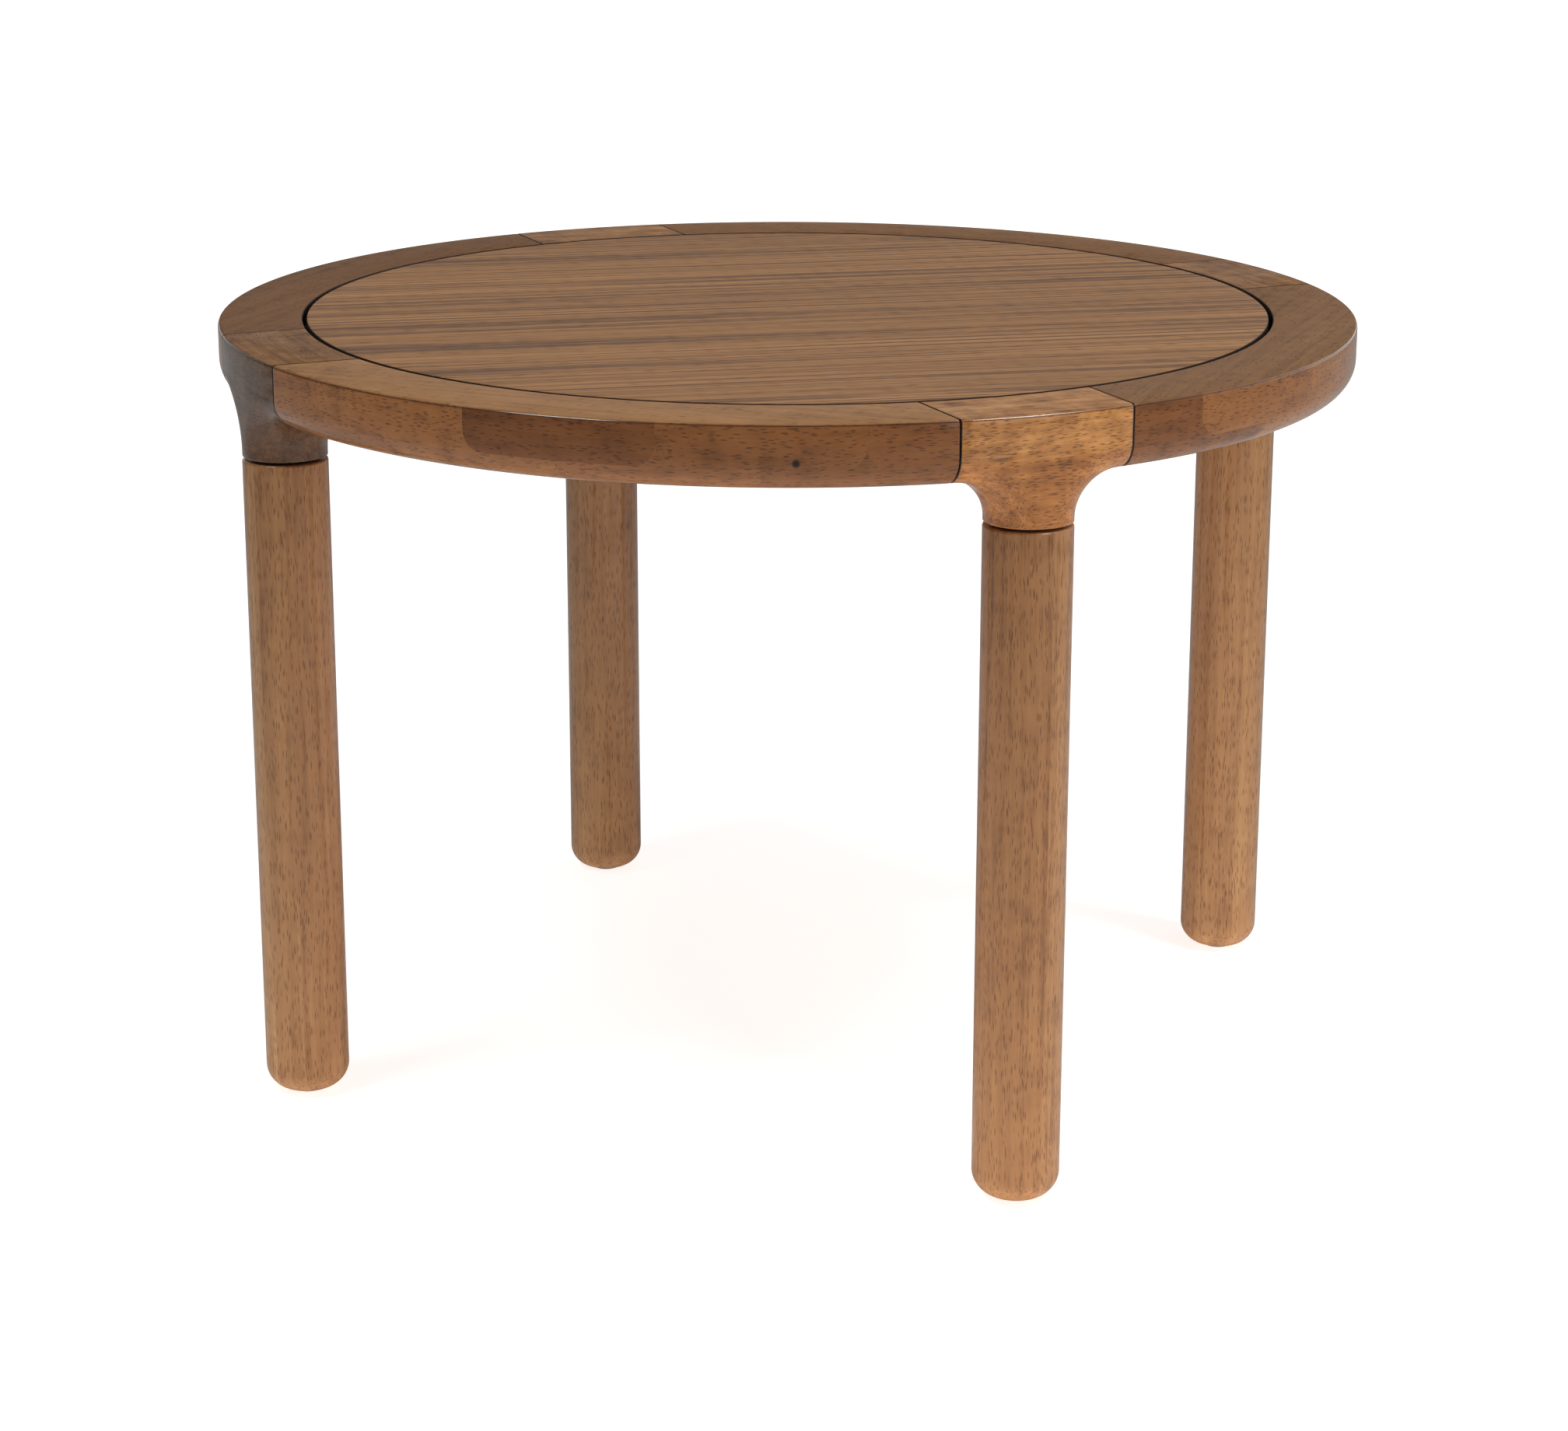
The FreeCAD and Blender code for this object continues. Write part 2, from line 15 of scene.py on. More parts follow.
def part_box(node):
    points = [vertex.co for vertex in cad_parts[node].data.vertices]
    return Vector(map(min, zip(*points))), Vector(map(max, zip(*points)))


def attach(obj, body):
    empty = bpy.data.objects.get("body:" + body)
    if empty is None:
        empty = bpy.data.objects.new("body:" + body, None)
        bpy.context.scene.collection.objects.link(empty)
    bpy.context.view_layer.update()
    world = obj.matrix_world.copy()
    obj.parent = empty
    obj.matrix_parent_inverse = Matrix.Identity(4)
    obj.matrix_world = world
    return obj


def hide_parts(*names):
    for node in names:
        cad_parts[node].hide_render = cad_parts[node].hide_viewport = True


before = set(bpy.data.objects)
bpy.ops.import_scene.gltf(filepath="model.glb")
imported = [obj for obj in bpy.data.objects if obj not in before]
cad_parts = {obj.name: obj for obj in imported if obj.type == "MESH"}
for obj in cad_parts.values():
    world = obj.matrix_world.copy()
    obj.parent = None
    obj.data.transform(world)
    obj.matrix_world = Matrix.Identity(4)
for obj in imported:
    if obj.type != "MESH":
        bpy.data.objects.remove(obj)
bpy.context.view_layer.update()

# %% [markdown]
# The sizes are the real ones, in metres, and each has a name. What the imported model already
# knows is read from it, so that the wood here and the solids there can't drift apart.

# %% Sizes
MM = 0.001


def heights(node):
    """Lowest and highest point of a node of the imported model."""
    return [corner[2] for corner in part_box(node)]


PANEL_UNDERSIDE, TOP = heights("top_panel")
RING_UNDERSIDE = heights("ring_segment_front")[0]
BLOCK_UNDERSIDE = heights("leg_block_front_left")[0]
LEG_FOOT, LEG_TOP = heights("leg_front_left")
RADIUS = 350 * MM
RING_INNER = RADIUS - 51.2 * MM
LEDGE_INNER = RING_INNER - 12 * MM
PANEL_RADIUS = RING_INNER - 2.4 * MM
LEG_CIRCLE = 325 * MM
NECK = 25 * MM
LEG_RADIUS = 25.4 * MM
BLOCK_HALF = 52.5 * MM
SEAM = 0.3 * MM
UNDER_ROUND = 17 * MM
TOP_ROUND = 2.5 * MM
PANEL_ROUND = 0.8 * MM
LEDGE_ROUND = 3 * MM
SEAM_BEVEL = 0.7 * MM

# Headings in degrees
LEGS = {"front_left": -135, "front_right": -45, "back_right": 45, "back_left": 135}
SEGMENTS = {"front": -90, "right": 0, "back": 90, "left": 180}
print("heights", np.round([LEG_FOOT, LEG_TOP, BLOCK_UNDERSIDE, RING_UNDERSIDE, TOP], 4).tolist())

# %% [markdown]
# Three small helpers. One turns a colour written as hex, as a paint chart gives it, into the linear
# numbers that light is reckoned in. One adds a node with its settings and its links, and serves the
# materials and the geometry trees alike. The last puts a new object into the scene.


# %% Helpers for colours, nodes and objects
def linear(colour):
    """Linear red, green, blue and alpha of an sRGB hex colour."""
    shares = [int(colour[i : i + 2], 16) / 255 for i in (1, 3, 5)]
    return [s / 12.92 if s <= 0.04045 else ((s + 0.055) / 1.055) ** 2.4 for s in shares] + [1.0]


def add(tree, kind, *values, out=0, **settings):
    """Adds one node and returns an output. Values fill its sockets in order, a dict fills named ones.

    A value is a number, a colour or another node's output. A kind may end in a dot and an operation,
    and is a ShaderNode unless it says Geometry or NodeGroup.
    """
    kind, _, operation = kind.partition(".")
    made = tree.nodes.new(kind if kind.startswith(("Geometry", "NodeGroup")) else "ShaderNode" + kind)
    if operation:
        made.operation = operation
    for name, value in settings.items():
        setattr(made, name, value)
    sources = {}
    for number, value in enumerate(values):
        sources.update(value if isinstance(value, dict) else {number: value})
    for socket, source in sources.items():
        if isinstance(source, bpy.types.NodeSocket):
            tree.links.new(source, made.inputs[socket])
        else:
            made.inputs[socket].default_value = source
    return made.outputs if out is None else made.outputs[out] if made.outputs else None


def new_object(name, data):
    """Object at the origin, linked into the scene."""
    thing = bpy.data.objects.new(name, data)
    bpy.context.scene.collection.objects.link(thing)
    return thing


# %% [markdown]
# The camera stands where the photograph was taken from. Its distance, height and lens were worked
# out from the table's own circles and seams in the picture; the picture is 2016 pixels wide.

# %% Camera
FOCAL_PIXELS = 4760.9
PICTURE_WIDTH = 2016
CAMERA_DISTANCE = 2311.8 * MM
# In degrees
CAMERA_HEADING, CAMERA_ELEVATION = 20.9994, 10.091
CAMERA_TILT, CAMERA_PAN, CAMERA_ROLL = -6.2806, 0.0465, -0.0821


def rotation(degrees, axis="Z"):
    return Matrix.Rotation(radians(degrees), 4, axis)


lens = bpy.data.cameras.new("photographer")
lens.sensor_width = 36.0
lens.lens = FOCAL_PIXELS / PICTURE_WIDTH * lens.sensor_width
lens.clip_start, lens.clip_end = 0.05, 50.0
camera = new_object("photographer", lens)
# From the middle of the top out along its line of sight, and there the small turns of the fit
line = Matrix.Translation((0, 0, TOP)) @ rotation(CAMERA_HEADING) @ rotation(90 - CAMERA_ELEVATION, "X")
aim = rotation(CAMERA_TILT, "X") @ rotation(CAMERA_PAN, "Y") @ rotation(-CAMERA_ROLL)
camera.matrix_world = line @ Matrix.Translation((0, 0, CAMERA_DISTANCE)) @ aim
bpy.context.scene.camera = camera
print("camera at", np.round(camera.matrix_world.translation, 3).tolist())

# %% [markdown]
# Wood is one rule with many faces. The board is a solid block of figure, and each piece is cut out
# of it, so the pattern is worked out in millimetres inside the block: along the grain everything is
# stretched, across it everything is narrow. Four layers make it. A slow warp bends the grain, broad
# and fine streaks are the growth rings, a close fibre gives it its silk, and short dark dashes are
# the open pores, in which the stain collects. One shared group holds the rule, and each finish gives
# it its own grain direction and sizes.

# %% Wood figure
# Sizes in millimetres, along the grain and across it
WANDER = (190.0, 42.0, 42.0)
STREAK_WIDTH = 5.0
# 0.9 mm wide so that it shows; in the real wood a fibre is a third of that
FIBRE = (26.0, 0.9, 0.9)
PUFF = (13.0, 16.0, 16.0)
# One dash in most cells, 0.6 mm wide so that it shows; the real pores are half of that
PORE_CELL = 1.05
PORE_STAIN = 0.63
WHITE = linear("#ffffff")
RGBA = {"out": 2, "data_type": "RGBA"}
SOFT = {"interpolation_type": "SMOOTHSTEP"}
UPRIGHT = {"rotation_type": "Z_AXIS"}


def new_tree(name, family, inputs, outputs):
    """Node tree whose inputs and outputs have a name and a kind of socket, and what it is given."""
    tree = bpy.data.node_groups.new(name, family)
    for way, sockets in (("INPUT", inputs), ("OUTPUT", outputs)):
        for title, kind in sockets.items():
            tree.interface.new_socket(title, in_out=way, socket_type="NodeSocket" + kind)
    return tree, add(tree, "NodeGroupInput", out=None)


def layer(tree, place, size, detail, **more):
    """Noise in cells of one size, along the grain and across it."""
    cells = add(tree, "VectorMath.DIVIDE", place, size)
    return add(tree, "TexNoise", {"Vector": cells, "Scale": 1.0, "Detail": detail}, **more)


def wood_figure():
    colours = dict.fromkeys(("Dark", "Body", "Light", "Pore"), "Color")
    sizes = ("Streak length", "Warp", "Contrast", "Cloud", "Pores", "Pore length", "Lines", "Matt")
    inputs = {"Grain": "Vector", **colours, **dict.fromkeys(sizes, "Float")}
    outputs = {"Colour": "Color", "Roughness": "Float", "Relief": "Float"}
    tree, given = new_tree("wood_figure", "ShaderNodeTree", inputs, outputs)
    # Warp: the grain wanders a few millimetres over a hand's breadth
    wander = layer(tree, given["Grain"], WANDER, 2.0, out="Color")
    centred = add(tree, "VectorMath.SUBTRACT", wander, (0.5, 0.5, 0.5))
    reach = add(tree, "CombineXYZ", 0.0, given["Warp"], given["Warp"])
    bent = add(tree, "VectorMath.ADD", given["Grain"], add(tree, "VectorMath.MULTIPLY", centred, reach))
    # Streaks, broad and fine
    size = add(tree, "CombineXYZ", given["Streak length"], STREAK_WIDTH, STREAK_WIDTH)
    narrow = add(tree, "VectorMath.DIVIDE", bent, size)
    fine = add(tree, "TexNoise", {"Vector": narrow, "Scale": 1.0, "Detail": 4.0, "Roughness": 0.6})
    broad = layer(tree, narrow, (2.6, 7.0, 7.0), 2.0)
    fibre = layer(tree, bent, FIBRE, 2.0)
    # Cloud: the soft mottling where light meets wavy fibres
    cloud = layer(tree, bent, PUFF, 3.0)
    parts = add(tree, "Math.MULTIPLY", add(tree, "Math.SUBTRACT", cloud, 0.5), given["Cloud"])
    for noise, share in ((broad, 0.6), (fine, 0.95), (fibre, 0.45)):
        parts = add(tree, "Math.MULTIPLY_ADD", noise, share, parts)
    # The middle of the three noises together is at one
    tone = add(tree, "Math.MULTIPLY", add(tree, "Math.SUBTRACT", parts, 1.0), given["Contrast"])
    body = given["Body"]
    for colour, start, end in (("Light", -0.05, 0.42), ("Dark", 0.02, -0.4)):
        share = add(tree, "MapRange", tone, start, end, **SOFT)
        body = add(tree, "Mix", {0: share, 6: body, 7: given[colour]}, **RGBA)
    # Growth lines: thin and dark, gathered in bands
    line = add(tree, "MapRange", layer(tree, narrow, (1.4, 0.8, 0.8), 1.0), 0.5, 0.62, **SOFT)
    band = add(tree, "MapRange", broad, 0.4, 0.6, **SOFT)
    line = add(tree, "Math.MULTIPLY", add(tree, "Math.MULTIPLY", line, band), given["Lines"])
    body = add(tree, "Mix", {0: line, 6: body, 7: given["Dark"]}, **RGBA)
    # Pores: a draw decides which cells have one
    cell = add(tree, "CombineXYZ", given["Pore length"], PORE_CELL, PORE_CELL)
    spread = add(tree, "VectorMath.DIVIDE", bent, cell)
    dashes = add(tree, "TexVoronoi", {"Vector": spread, "Scale": 1.0}, out=None)
    core = add(tree, "MapRange", dashes["Distance"], 0.4, 0.2, **SOFT)
    chosen = add(tree, "Math.LESS_THAN", add(tree, "SeparateColor", dashes["Color"]), given["Pores"])
    pore = add(tree, "Math.MULTIPLY", core, chosen)
    stain = add(tree, "Math.MULTIPLY", pore, PORE_STAIN)
    colour = add(tree, "Mix", {0: stain, 6: body, 7: given["Pore"]}, **RGBA)
    rough = add(tree, "Math.MULTIPLY_ADD", pore, 0.15, given["Matt"])
    rough = add(tree, "Math.MULTIPLY_ADD", fibre, 0.1, rough)
    relief = add(tree, "Math.MULTIPLY_ADD", fibre, 0.3, 0.5)
    relief = add(tree, "Math.MULTIPLY_ADD", pore, -0.5, relief)
    add(tree, "NodeGroupOutput", colour, rough, relief)
    return tree


figure = wood_figure()
print("wood figure", len(figure.nodes), "nodes")

# %% [markdown]
# Two things are the same on every board. The maker softened the edges at the seams and round the
# panel and rubbed dark stain into them, which draws the fine black lines on the table. And all
# boards are measured in millimetres from the table's axis, turned so that their own length lies
# along the grain.

# %% Stained joints
SEAM_LINE = BLOCK_HALF + SEAM / 2
# In millimetres: the stain's reach and its soft end, where it starts at the groove, the veneer's depth
STAIN_REACH = 0.95
STAIN_FADE = 0.4
GROOVE_INSET = 0.2
VENEER_DEPTH = 1.2


def joint_stain():
    """Group: one where a point lies on a seam's or the panel groove's softened edge."""
    tree, given = new_tree("joint_stain", "ShaderNodeTree", {"Place": "Vector"}, {"Stain": "Float"})
    place = given[0]
    # Turned by an eighth, the leg blocks lie along the two axes
    eighth = add(tree, "VectorRotate", {"Vector": place, "Angle": pi / 4}, **UPRIGHT)
    x, y, _ = add(tree, "SeparateXYZ", add(tree, "VectorMath.ABSOLUTE", eighth), out=None)
    nearer = add(tree, "Math.MINIMUM", x, y)
    off_seam = add(tree, "Math.ABSOLUTE", add(tree, "Math.SUBTRACT", nearer, SEAM_LINE / MM))
    flat = add(tree, "VectorMath.MULTIPLY", place, (1.0, 1.0, 0.0))
    radius = add(tree, "VectorMath.LENGTH", flat, out="Value")
    groove = (RING_INNER + PANEL_RADIUS) / 2 / MM
    # The seams end at the panel
    inside = add(tree, "Math.LESS_THAN", radius, (RING_INNER - SEAM) / MM)
    off_seam = add(tree, "Math.MULTIPLY_ADD", inside, RADIUS / MM, off_seam)
    off_groove = add(tree, "Math.ABSOLUTE", add(tree, "Math.SUBTRACT", radius, groove))
    beyond = add(tree, "Math.SUBTRACT", off_groove, (RING_INNER - PANEL_RADIUS) / 2 / MM)
    nearest = add(tree, "Math.MINIMUM", off_seam, add(tree, "Math.ADD", beyond, GROOVE_INSET))
    stain = add(tree, "MapRange", nearest, STAIN_REACH, STAIN_REACH - STAIN_FADE)
    # The veneer's edge shows as a thinner line under the rounding of the rim
    height = add(tree, "SeparateXYZ", place, out=2)
    off_edge = add(tree, "Math.ABSOLUTE", add(tree, "Math.SUBTRACT", height, TOP / MM - VENEER_DEPTH))
    outside = add(tree, "Math.GREATER_THAN", radius, (RADIUS - TOP_ROUND) / MM)
    edge = add(tree, "Math.MULTIPLY", add(tree, "MapRange", off_edge, 0.6, 0.1, 0.0, 0.75), outside)
    add(tree, "NodeGroupOutput", add(tree, "Math.MAXIMUM", stain, edge))
    return tree


stain_group = joint_stain()
print("stain within", STAIN_REACH, "mm of a seam")

# %% [markdown]
# A wooden finish is then put together from three things: a recipe of colours and sizes, a function
# that says how the piece's boards lie, and a coat of satin lacquer over all. The lacquer is the
# shader's own coat layer. Its reflection stays clear where the pores below it are rough.

# %% Wooden finish
STAIN_COLOUR = "#2a1d15"
RELIEF_DEPTH = 0.2 * MM


def new_material(name):
    """Material with an empty node tree, and that tree."""
    material = bpy.data.materials.new(name)
    material.use_nodes = True
    material.node_tree.nodes.clear()
    return material, material.node_tree


def wood_finish(name, recipe, boards, coat=0.9, specular=0.1):
    """Lacquered wood. boards adds the grain coordinates and any changes, and gives shades to lay over."""
    material, tree = new_material(name)
    where = add(tree, "TexCoord", out="Object")
    place = add(tree, "VectorMath.SCALE", {"Vector": where, "Scale": 1 / MM})
    inputs = {key: linear(value) if isinstance(value, str) else value for key, value in recipe.items()}
    changes, shades = boards(tree, place)
    coat = changes.pop("Coat", coat)
    wood = add(tree, "Group", {**inputs, **changes}, out=None, node_tree=figure)
    colour = wood["Colour"]
    for shade in shades:
        colour = add(tree, "Mix", {0: 1.0, 6: colour, 7: shade}, blend_type="MULTIPLY", **RGBA)
    stain = add(tree, "Group", {"Place": place}, node_tree=stain_group)
    surface = {
        "Base Color": add(tree, "Mix", {0: stain, 6: colour, 7: linear(STAIN_COLOUR)}, **RGBA),
        "Roughness": wood["Roughness"],
        "IOR": 1.5,
        "Normal": add(tree, "Bump", {"Strength": 0.6, "Distance": RELIEF_DEPTH, "Height": wood["Relief"]}),
        "Specular IOR Level": specular,
        "Coat Weight": coat,
        "Coat Roughness": 0.1,
    }
    add(tree, "OutputMaterial", add(tree, "BsdfPrincipled", surface))
    print(name, len(tree.nodes), "nodes")
    return material


print("stain colour", STAIN_COLOUR)

# %% [markdown]
# What the boards have in common comes next: a figure and a tone of its own for each board, a grain
# that runs square to the board's heading, and a thin matt veneer on the top faces.

# %% Boards
# Far enough apart that no two boards show the same figure
BOARD_SHIFT = (331.0, 173.0, 57.0)


def own_figure(tree, laid, number):
    """Grain coordinates moved by the board's number."""
    shift = add(tree, "VectorMath.SCALE", {"Vector": BOARD_SHIFT, "Scale": number})
    return add(tree, "VectorMath.ADD", laid, shift)


def along_tangent(tree, place, heading, number):
    """Grain coordinates of a board that lies square to a heading."""
    back = add(tree, "Math.MULTIPLY", heading, -1.0)
    turned = add(tree, "VectorRotate", {"Vector": place, "Angle": back}, **UPRIGHT)
    x, y, z = add(tree, "SeparateXYZ", turned, out=None)
    return own_figure(tree, add(tree, "CombineXYZ", y, x, z), number)


def drawn_shade(tree, phase, dark, light):
    """Shade between two colours, drawn by the sine of a phase that each board has for itself."""
    share = add(tree, "MapRange", add(tree, "Math.SINE", phase), -1.0, 1.0)
    return add(tree, "Mix", {0: share, 6: linear(dark), 7: linear(light)}, **RGBA)


def one_of_four(tree, number, colours):
    """Colour picked by a whole number from -2 to 1, which is a quarter of the table."""
    picked = add(tree, "ValToRGB", add(tree, "Math.MULTIPLY_ADD", number, 0.25, 0.51))
    steps = picked.node.color_ramp
    steps.interpolation = "CONSTANT"
    for k, colour in enumerate(colours):
        step = steps.elements[k] if k < 2 else steps.elements.new(1.0)
        step.position, step.color = k / 4, linear(colour)
    return picked


def veneered(tree, is_top, pores):
    """Pores, roughness and lacquer of solid wood under a veneer, which has few pores and no coat."""
    pairs = {"Pores": (pores, 0.2), "Matt": (0.36, 0.58), "Coat": (0.9, 0.0)}
    return {key: add(tree, "Mix", {0: is_top, 2: solid, 3: thin}) for key, (solid, thin) in pairs.items()}


print("boards are", BOARD_SHIFT, "mm apart in the figure")

# %% [markdown]
# The panel is faced with walnut veneer, sliced from one log: long straight streaks, few pores, and
# a quieter, greyer brown than the solid wood round it. On the photographed table its grain runs
# from the front left to the back right, 33 degrees from the line between two ring segments.

# %% Panel finish
PANEL_GRAIN = radians(33)


def panel_boards(tree, place):
    laid = add(tree, "VectorRotate", {"Vector": place, "Angle": -PANEL_GRAIN}, **UPRIGHT)
    return {"Grain": laid}, []


panel_recipe = {
    "Dark": "#674b39", "Body": "#9d724a", "Light": "#ae8156", "Pore": "#54392a",
    "Streak length": 620.0, "Warp": 4.0, "Contrast": 1.8, "Cloud": 0.1,
    "Pores": 0.25, "Pore length": 15.0, "Lines": 0.9, "Matt": 0.6,
}
panel_veneer = wood_finish("walnut_veneer_satin_lacquer", panel_recipe, panel_boards, 0.0, 0.12)

# %% [markdown]
# Each ring segment is glued from straight staves in two layers, staggered like bricks, and then
# sawn round. So the grain is straight in every stave and meets its neighbour at a small angle, and
# the staves differ in tone. A thin veneer on top carries one straight grain along each segment.
# The shader finds the stave from the angle and the height, and lays its board square to it.

# %% Ring finish
STAVE = radians(56 / 3)
# In millimetres
LAYER = 25.0
CORNER = 13.0
VENEER = 0.6
STAVE_DRAW = (3.992, 1.0)
TOP_SHADES = ("#ae9f94", "#e6dbd4", "#c0b4aa", "#c2b4a8")


def polar(radius, degrees):
    """Place on a circle about the table's axis."""
    return radius * cos(radians(degrees)), radius * sin(radians(degrees))


def ring_boards(tree, place):
    x, y, z = add(tree, "SeparateXYZ", place, out=None)
    angle = add(tree, "Math.ARCTAN2", y, x)
    quarter = add(tree, "Math.ROUND", add(tree, "Math.DIVIDE", angle, pi / 2))
    middle = add(tree, "Math.MULTIPLY", quarter, pi / 2)
    count = add(tree, "Math.DIVIDE", add(tree, "Math.SUBTRACT", angle, middle), STAVE)
    # The left segment lies on both sides of the angle's jump: its quarter is -2 on both
    quarter = add(tree, "Math.WRAP", quarter, 2.0, -2.0)
    upper = add(tree, "Math.ROUND", count)
    lower = add(tree, "Math.ADD", add(tree, "Math.FLOOR", count), 0.5)
    # An upper stave has rounded lower corners where the cutter ran out
    off = add(tree, "Math.ABSOLUTE", add(tree, "Math.SUBTRACT", count, upper))
    arc_length = STAVE * RADIUS / MM
    end = add(tree, "Math.MULTIPLY_ADD", off, arc_length, CORNER - arc_length / 2)
    low = add(tree, "Math.SUBTRACT", CORNER + TOP / MM - LAYER, z)
    into = add(tree, "VectorMath.MAXIMUM", add(tree, "CombineXYZ", end, low), (0.0, 0.0, 0.0))
    from_corner = add(tree, "VectorMath.LENGTH", into, out="Value")
    is_upper = add(tree, "Math.LESS_THAN", from_corner, CORNER)
    stave = add(tree, "Mix", {0: is_upper, 2: lower, 3: upper})
    middle = add(tree, "Math.MULTIPLY", quarter, pi / 2)
    heading = add(tree, "Math.MULTIPLY_ADD", stave, STAVE, middle)
    number = add(tree, "Math.MULTIPLY_ADD", quarter, 5.0, stave)
    number = add(tree, "Math.MULTIPLY_ADD", is_upper, 0.37, number)
    is_top = add(tree, "Math.GREATER_THAN", z, TOP / MM - VENEER)
    side = along_tangent(tree, place, heading, number)
    top = along_tangent(tree, place, middle, quarter)
    laid = add(tree, "Mix", {0: is_top, 4: side, 5: top}, out=1, data_type="VECTOR")
    square = add(tree, "Math.MULTIPLY", number, number)
    phase = add(tree, "Math.MULTIPLY_ADD", square, *STAVE_DRAW)
    side_shade = drawn_shade(tree, phase, "#c29d7e", "#f4d2b0")
    top_shade = one_of_four(tree, quarter, TOP_SHADES)
    shade = add(tree, "Mix", {0: is_top, 6: side_shade, 7: top_shade}, **RGBA)
    # A small knot in the front segment's outer face
    apart = add(tree, "VectorMath.DISTANCE", place, (*polar(RADIUS / MM, -68.25), 443.5), out="Value")
    dark = add(tree, "MapRange", apart, 3.0, 1.2, **SOFT)
    knot = add(tree, "Mix", {0: dark, 6: WHITE, 7: linear("#4a362c")}, **RGBA)
    return {"Grain": laid, **veneered(tree, is_top, 0.75)}, [shade, knot]


ring_recipe = {
    "Dark": "#82603f", "Body": "#ac8358", "Light": "#be9566", "Pore": "#46291c",
    "Streak length": 160.0, "Warp": 12.0, "Contrast": 0.8, "Cloud": 0.8,
    "Pore length": 7.0, "Lines": 0.3,
}
ring_wood = wood_finish("walnut_stained_acacia_staves", ring_recipe, ring_boards)

# %% [markdown]
# The leg blocks are two thick boards glued flat, with the grain running across the block. Each
# block came from its own plank: the one at the front right is golden and shimmers, the one at the
# front left is grey-brown. That block's side colour also carries painted shade and a painted greyish
# reflection, since it faces left and the light comes from the right.

# %% Leg block finish
# Side colour of each block, from the front left round: its plank's tone, and for the front left block also
# painted shade and painted reflection
BLOCK_TONES_AND_PAINTED_SHADE = ("#887c78", "#ffdcb2", "#ceb29a", "#bca292")
BLOCK_TOPS = ("#aa9b92", "#dccac0", "#b8a69a", "#c6b4a8")


def block_boards(tree, place):
    x, y, z = add(tree, "SeparateXYZ", place, out=None)
    angle = add(tree, "Math.ARCTAN2", y, x)
    quarter = add(tree, "Math.FLOOR", add(tree, "Math.DIVIDE", angle, pi / 2))
    heading = add(tree, "Math.MULTIPLY_ADD", quarter, pi / 2, pi / 4)
    is_upper = add(tree, "Math.GREATER_THAN", z, TOP / MM - LAYER)
    is_top = add(tree, "Math.GREATER_THAN", z, TOP / MM - VENEER)
    number = add(tree, "Math.MULTIPLY_ADD", is_upper, 0.31, quarter)
    number = add(tree, "Math.MULTIPLY_ADD", is_top, 0.17, number)
    laid = along_tangent(tree, place, heading, number)
    # Plank tone, and on the front left block painted shade and painted reflection as well
    plank_and_painted_shade = one_of_four(tree, quarter, BLOCK_TONES_AND_PAINTED_SHADE)
    veneer = one_of_four(tree, quarter, BLOCK_TOPS)
    # The lower board is a shade redder than the one on top of it
    board = add(tree, "Mix", {0: is_upper, 6: linear("#f4e8de"), 7: WHITE}, **RGBA)
    shade = add(tree, "Mix", {0: is_top, 6: plank_and_painted_shade, 7: veneer}, **RGBA)
    return {"Grain": laid, **veneered(tree, is_top, 0.9)}, [shade, board]


block_recipe = {
    "Dark": "#86664a", "Body": "#be966a", "Light": "#deb684", "Pore": "#4e2c1b",
    "Streak length": 90.0, "Warp": 14.0, "Contrast": 1.2, "Cloud": 1.0,
    "Pore length": 7.0, "Lines": 0.3,
}
block_wood = wood_finish("walnut_stained_acacia_block", block_recipe, block_boards)

# %% [markdown]
# A leg is turned from a blank glued of three upright strips, so the grain runs up the leg and each
# strip has its own tone and figure. The strips are parallel planes through the leg, turned to a
# different angle in each leg, as they come off the lathe.

# %% Leg finish
STRIP = 19.0
LEG_AT = LEG_CIRCLE * cos(pi / 4) / MM
# One colour per leg, from the front left round: a little tone of its own, and for the back left leg, which
# stands deepest under the table, painted shade as well
LEG_TONES_AND_PAINTED_SHADE = ("#ece4de", "#fff6ee", "#e4dad2", "#c8c2be")


def leg_boards(tree, place):
    side = add(tree, "VectorMath.SIGN", place)
    axis = add(tree, "VectorMath.MULTIPLY", side, (LEG_AT, LEG_AT, 0.0))
    local = add(tree, "VectorMath.SUBTRACT", place, axis)
    sx, sy, _ = add(tree, "SeparateXYZ", side, out=None)
    # From -2 to 1, as the quarters of the blocks
    half = add(tree, "Math.SUBTRACT", sy, 0.5)
    quarter = add(tree, "Math.MULTIPLY_ADD", add(tree, "Math.MULTIPLY", sx, sy), -0.5, half)
    spin = add(tree, "Math.MULTIPLY_ADD", quarter, 1.9, 0.6)
    turned = add(tree, "VectorRotate", {"Vector": local, "Angle": spin}, **UPRIGHT)
    x, y, z = add(tree, "SeparateXYZ", turned, out=None)
    strip = add(tree, "Math.ROUND", add(tree, "Math.DIVIDE", x, STRIP))
    number = add(tree, "Math.MULTIPLY_ADD", quarter, 3.0, strip)
    laid = own_figure(tree, add(tree, "CombineXYZ", z, x, y), number)
    shade = drawn_shade(tree, add(tree, "Math.MULTIPLY", number, 2.1), "#e4dad4", "#ffffff")
    # The back left leg's darker colour is painted shade as well as tone
    return {"Grain": laid}, [shade, one_of_four(tree, quarter, LEG_TONES_AND_PAINTED_SHADE)]


leg_recipe = {
    "Dark": "#926b48", "Body": "#bb8e60", "Light": "#cb9f6e", "Pore": "#6e4830",
    "Streak length": 260.0, "Warp": 9.0, "Contrast": 1.1, "Cloud": 0.5,
    "Pores": 0.8, "Pore length": 9.0, "Lines": 0.25, "Matt": 0.45,
}
leg_wood = wood_finish("walnut_stained_acacia_turned", leg_recipe, leg_boards)

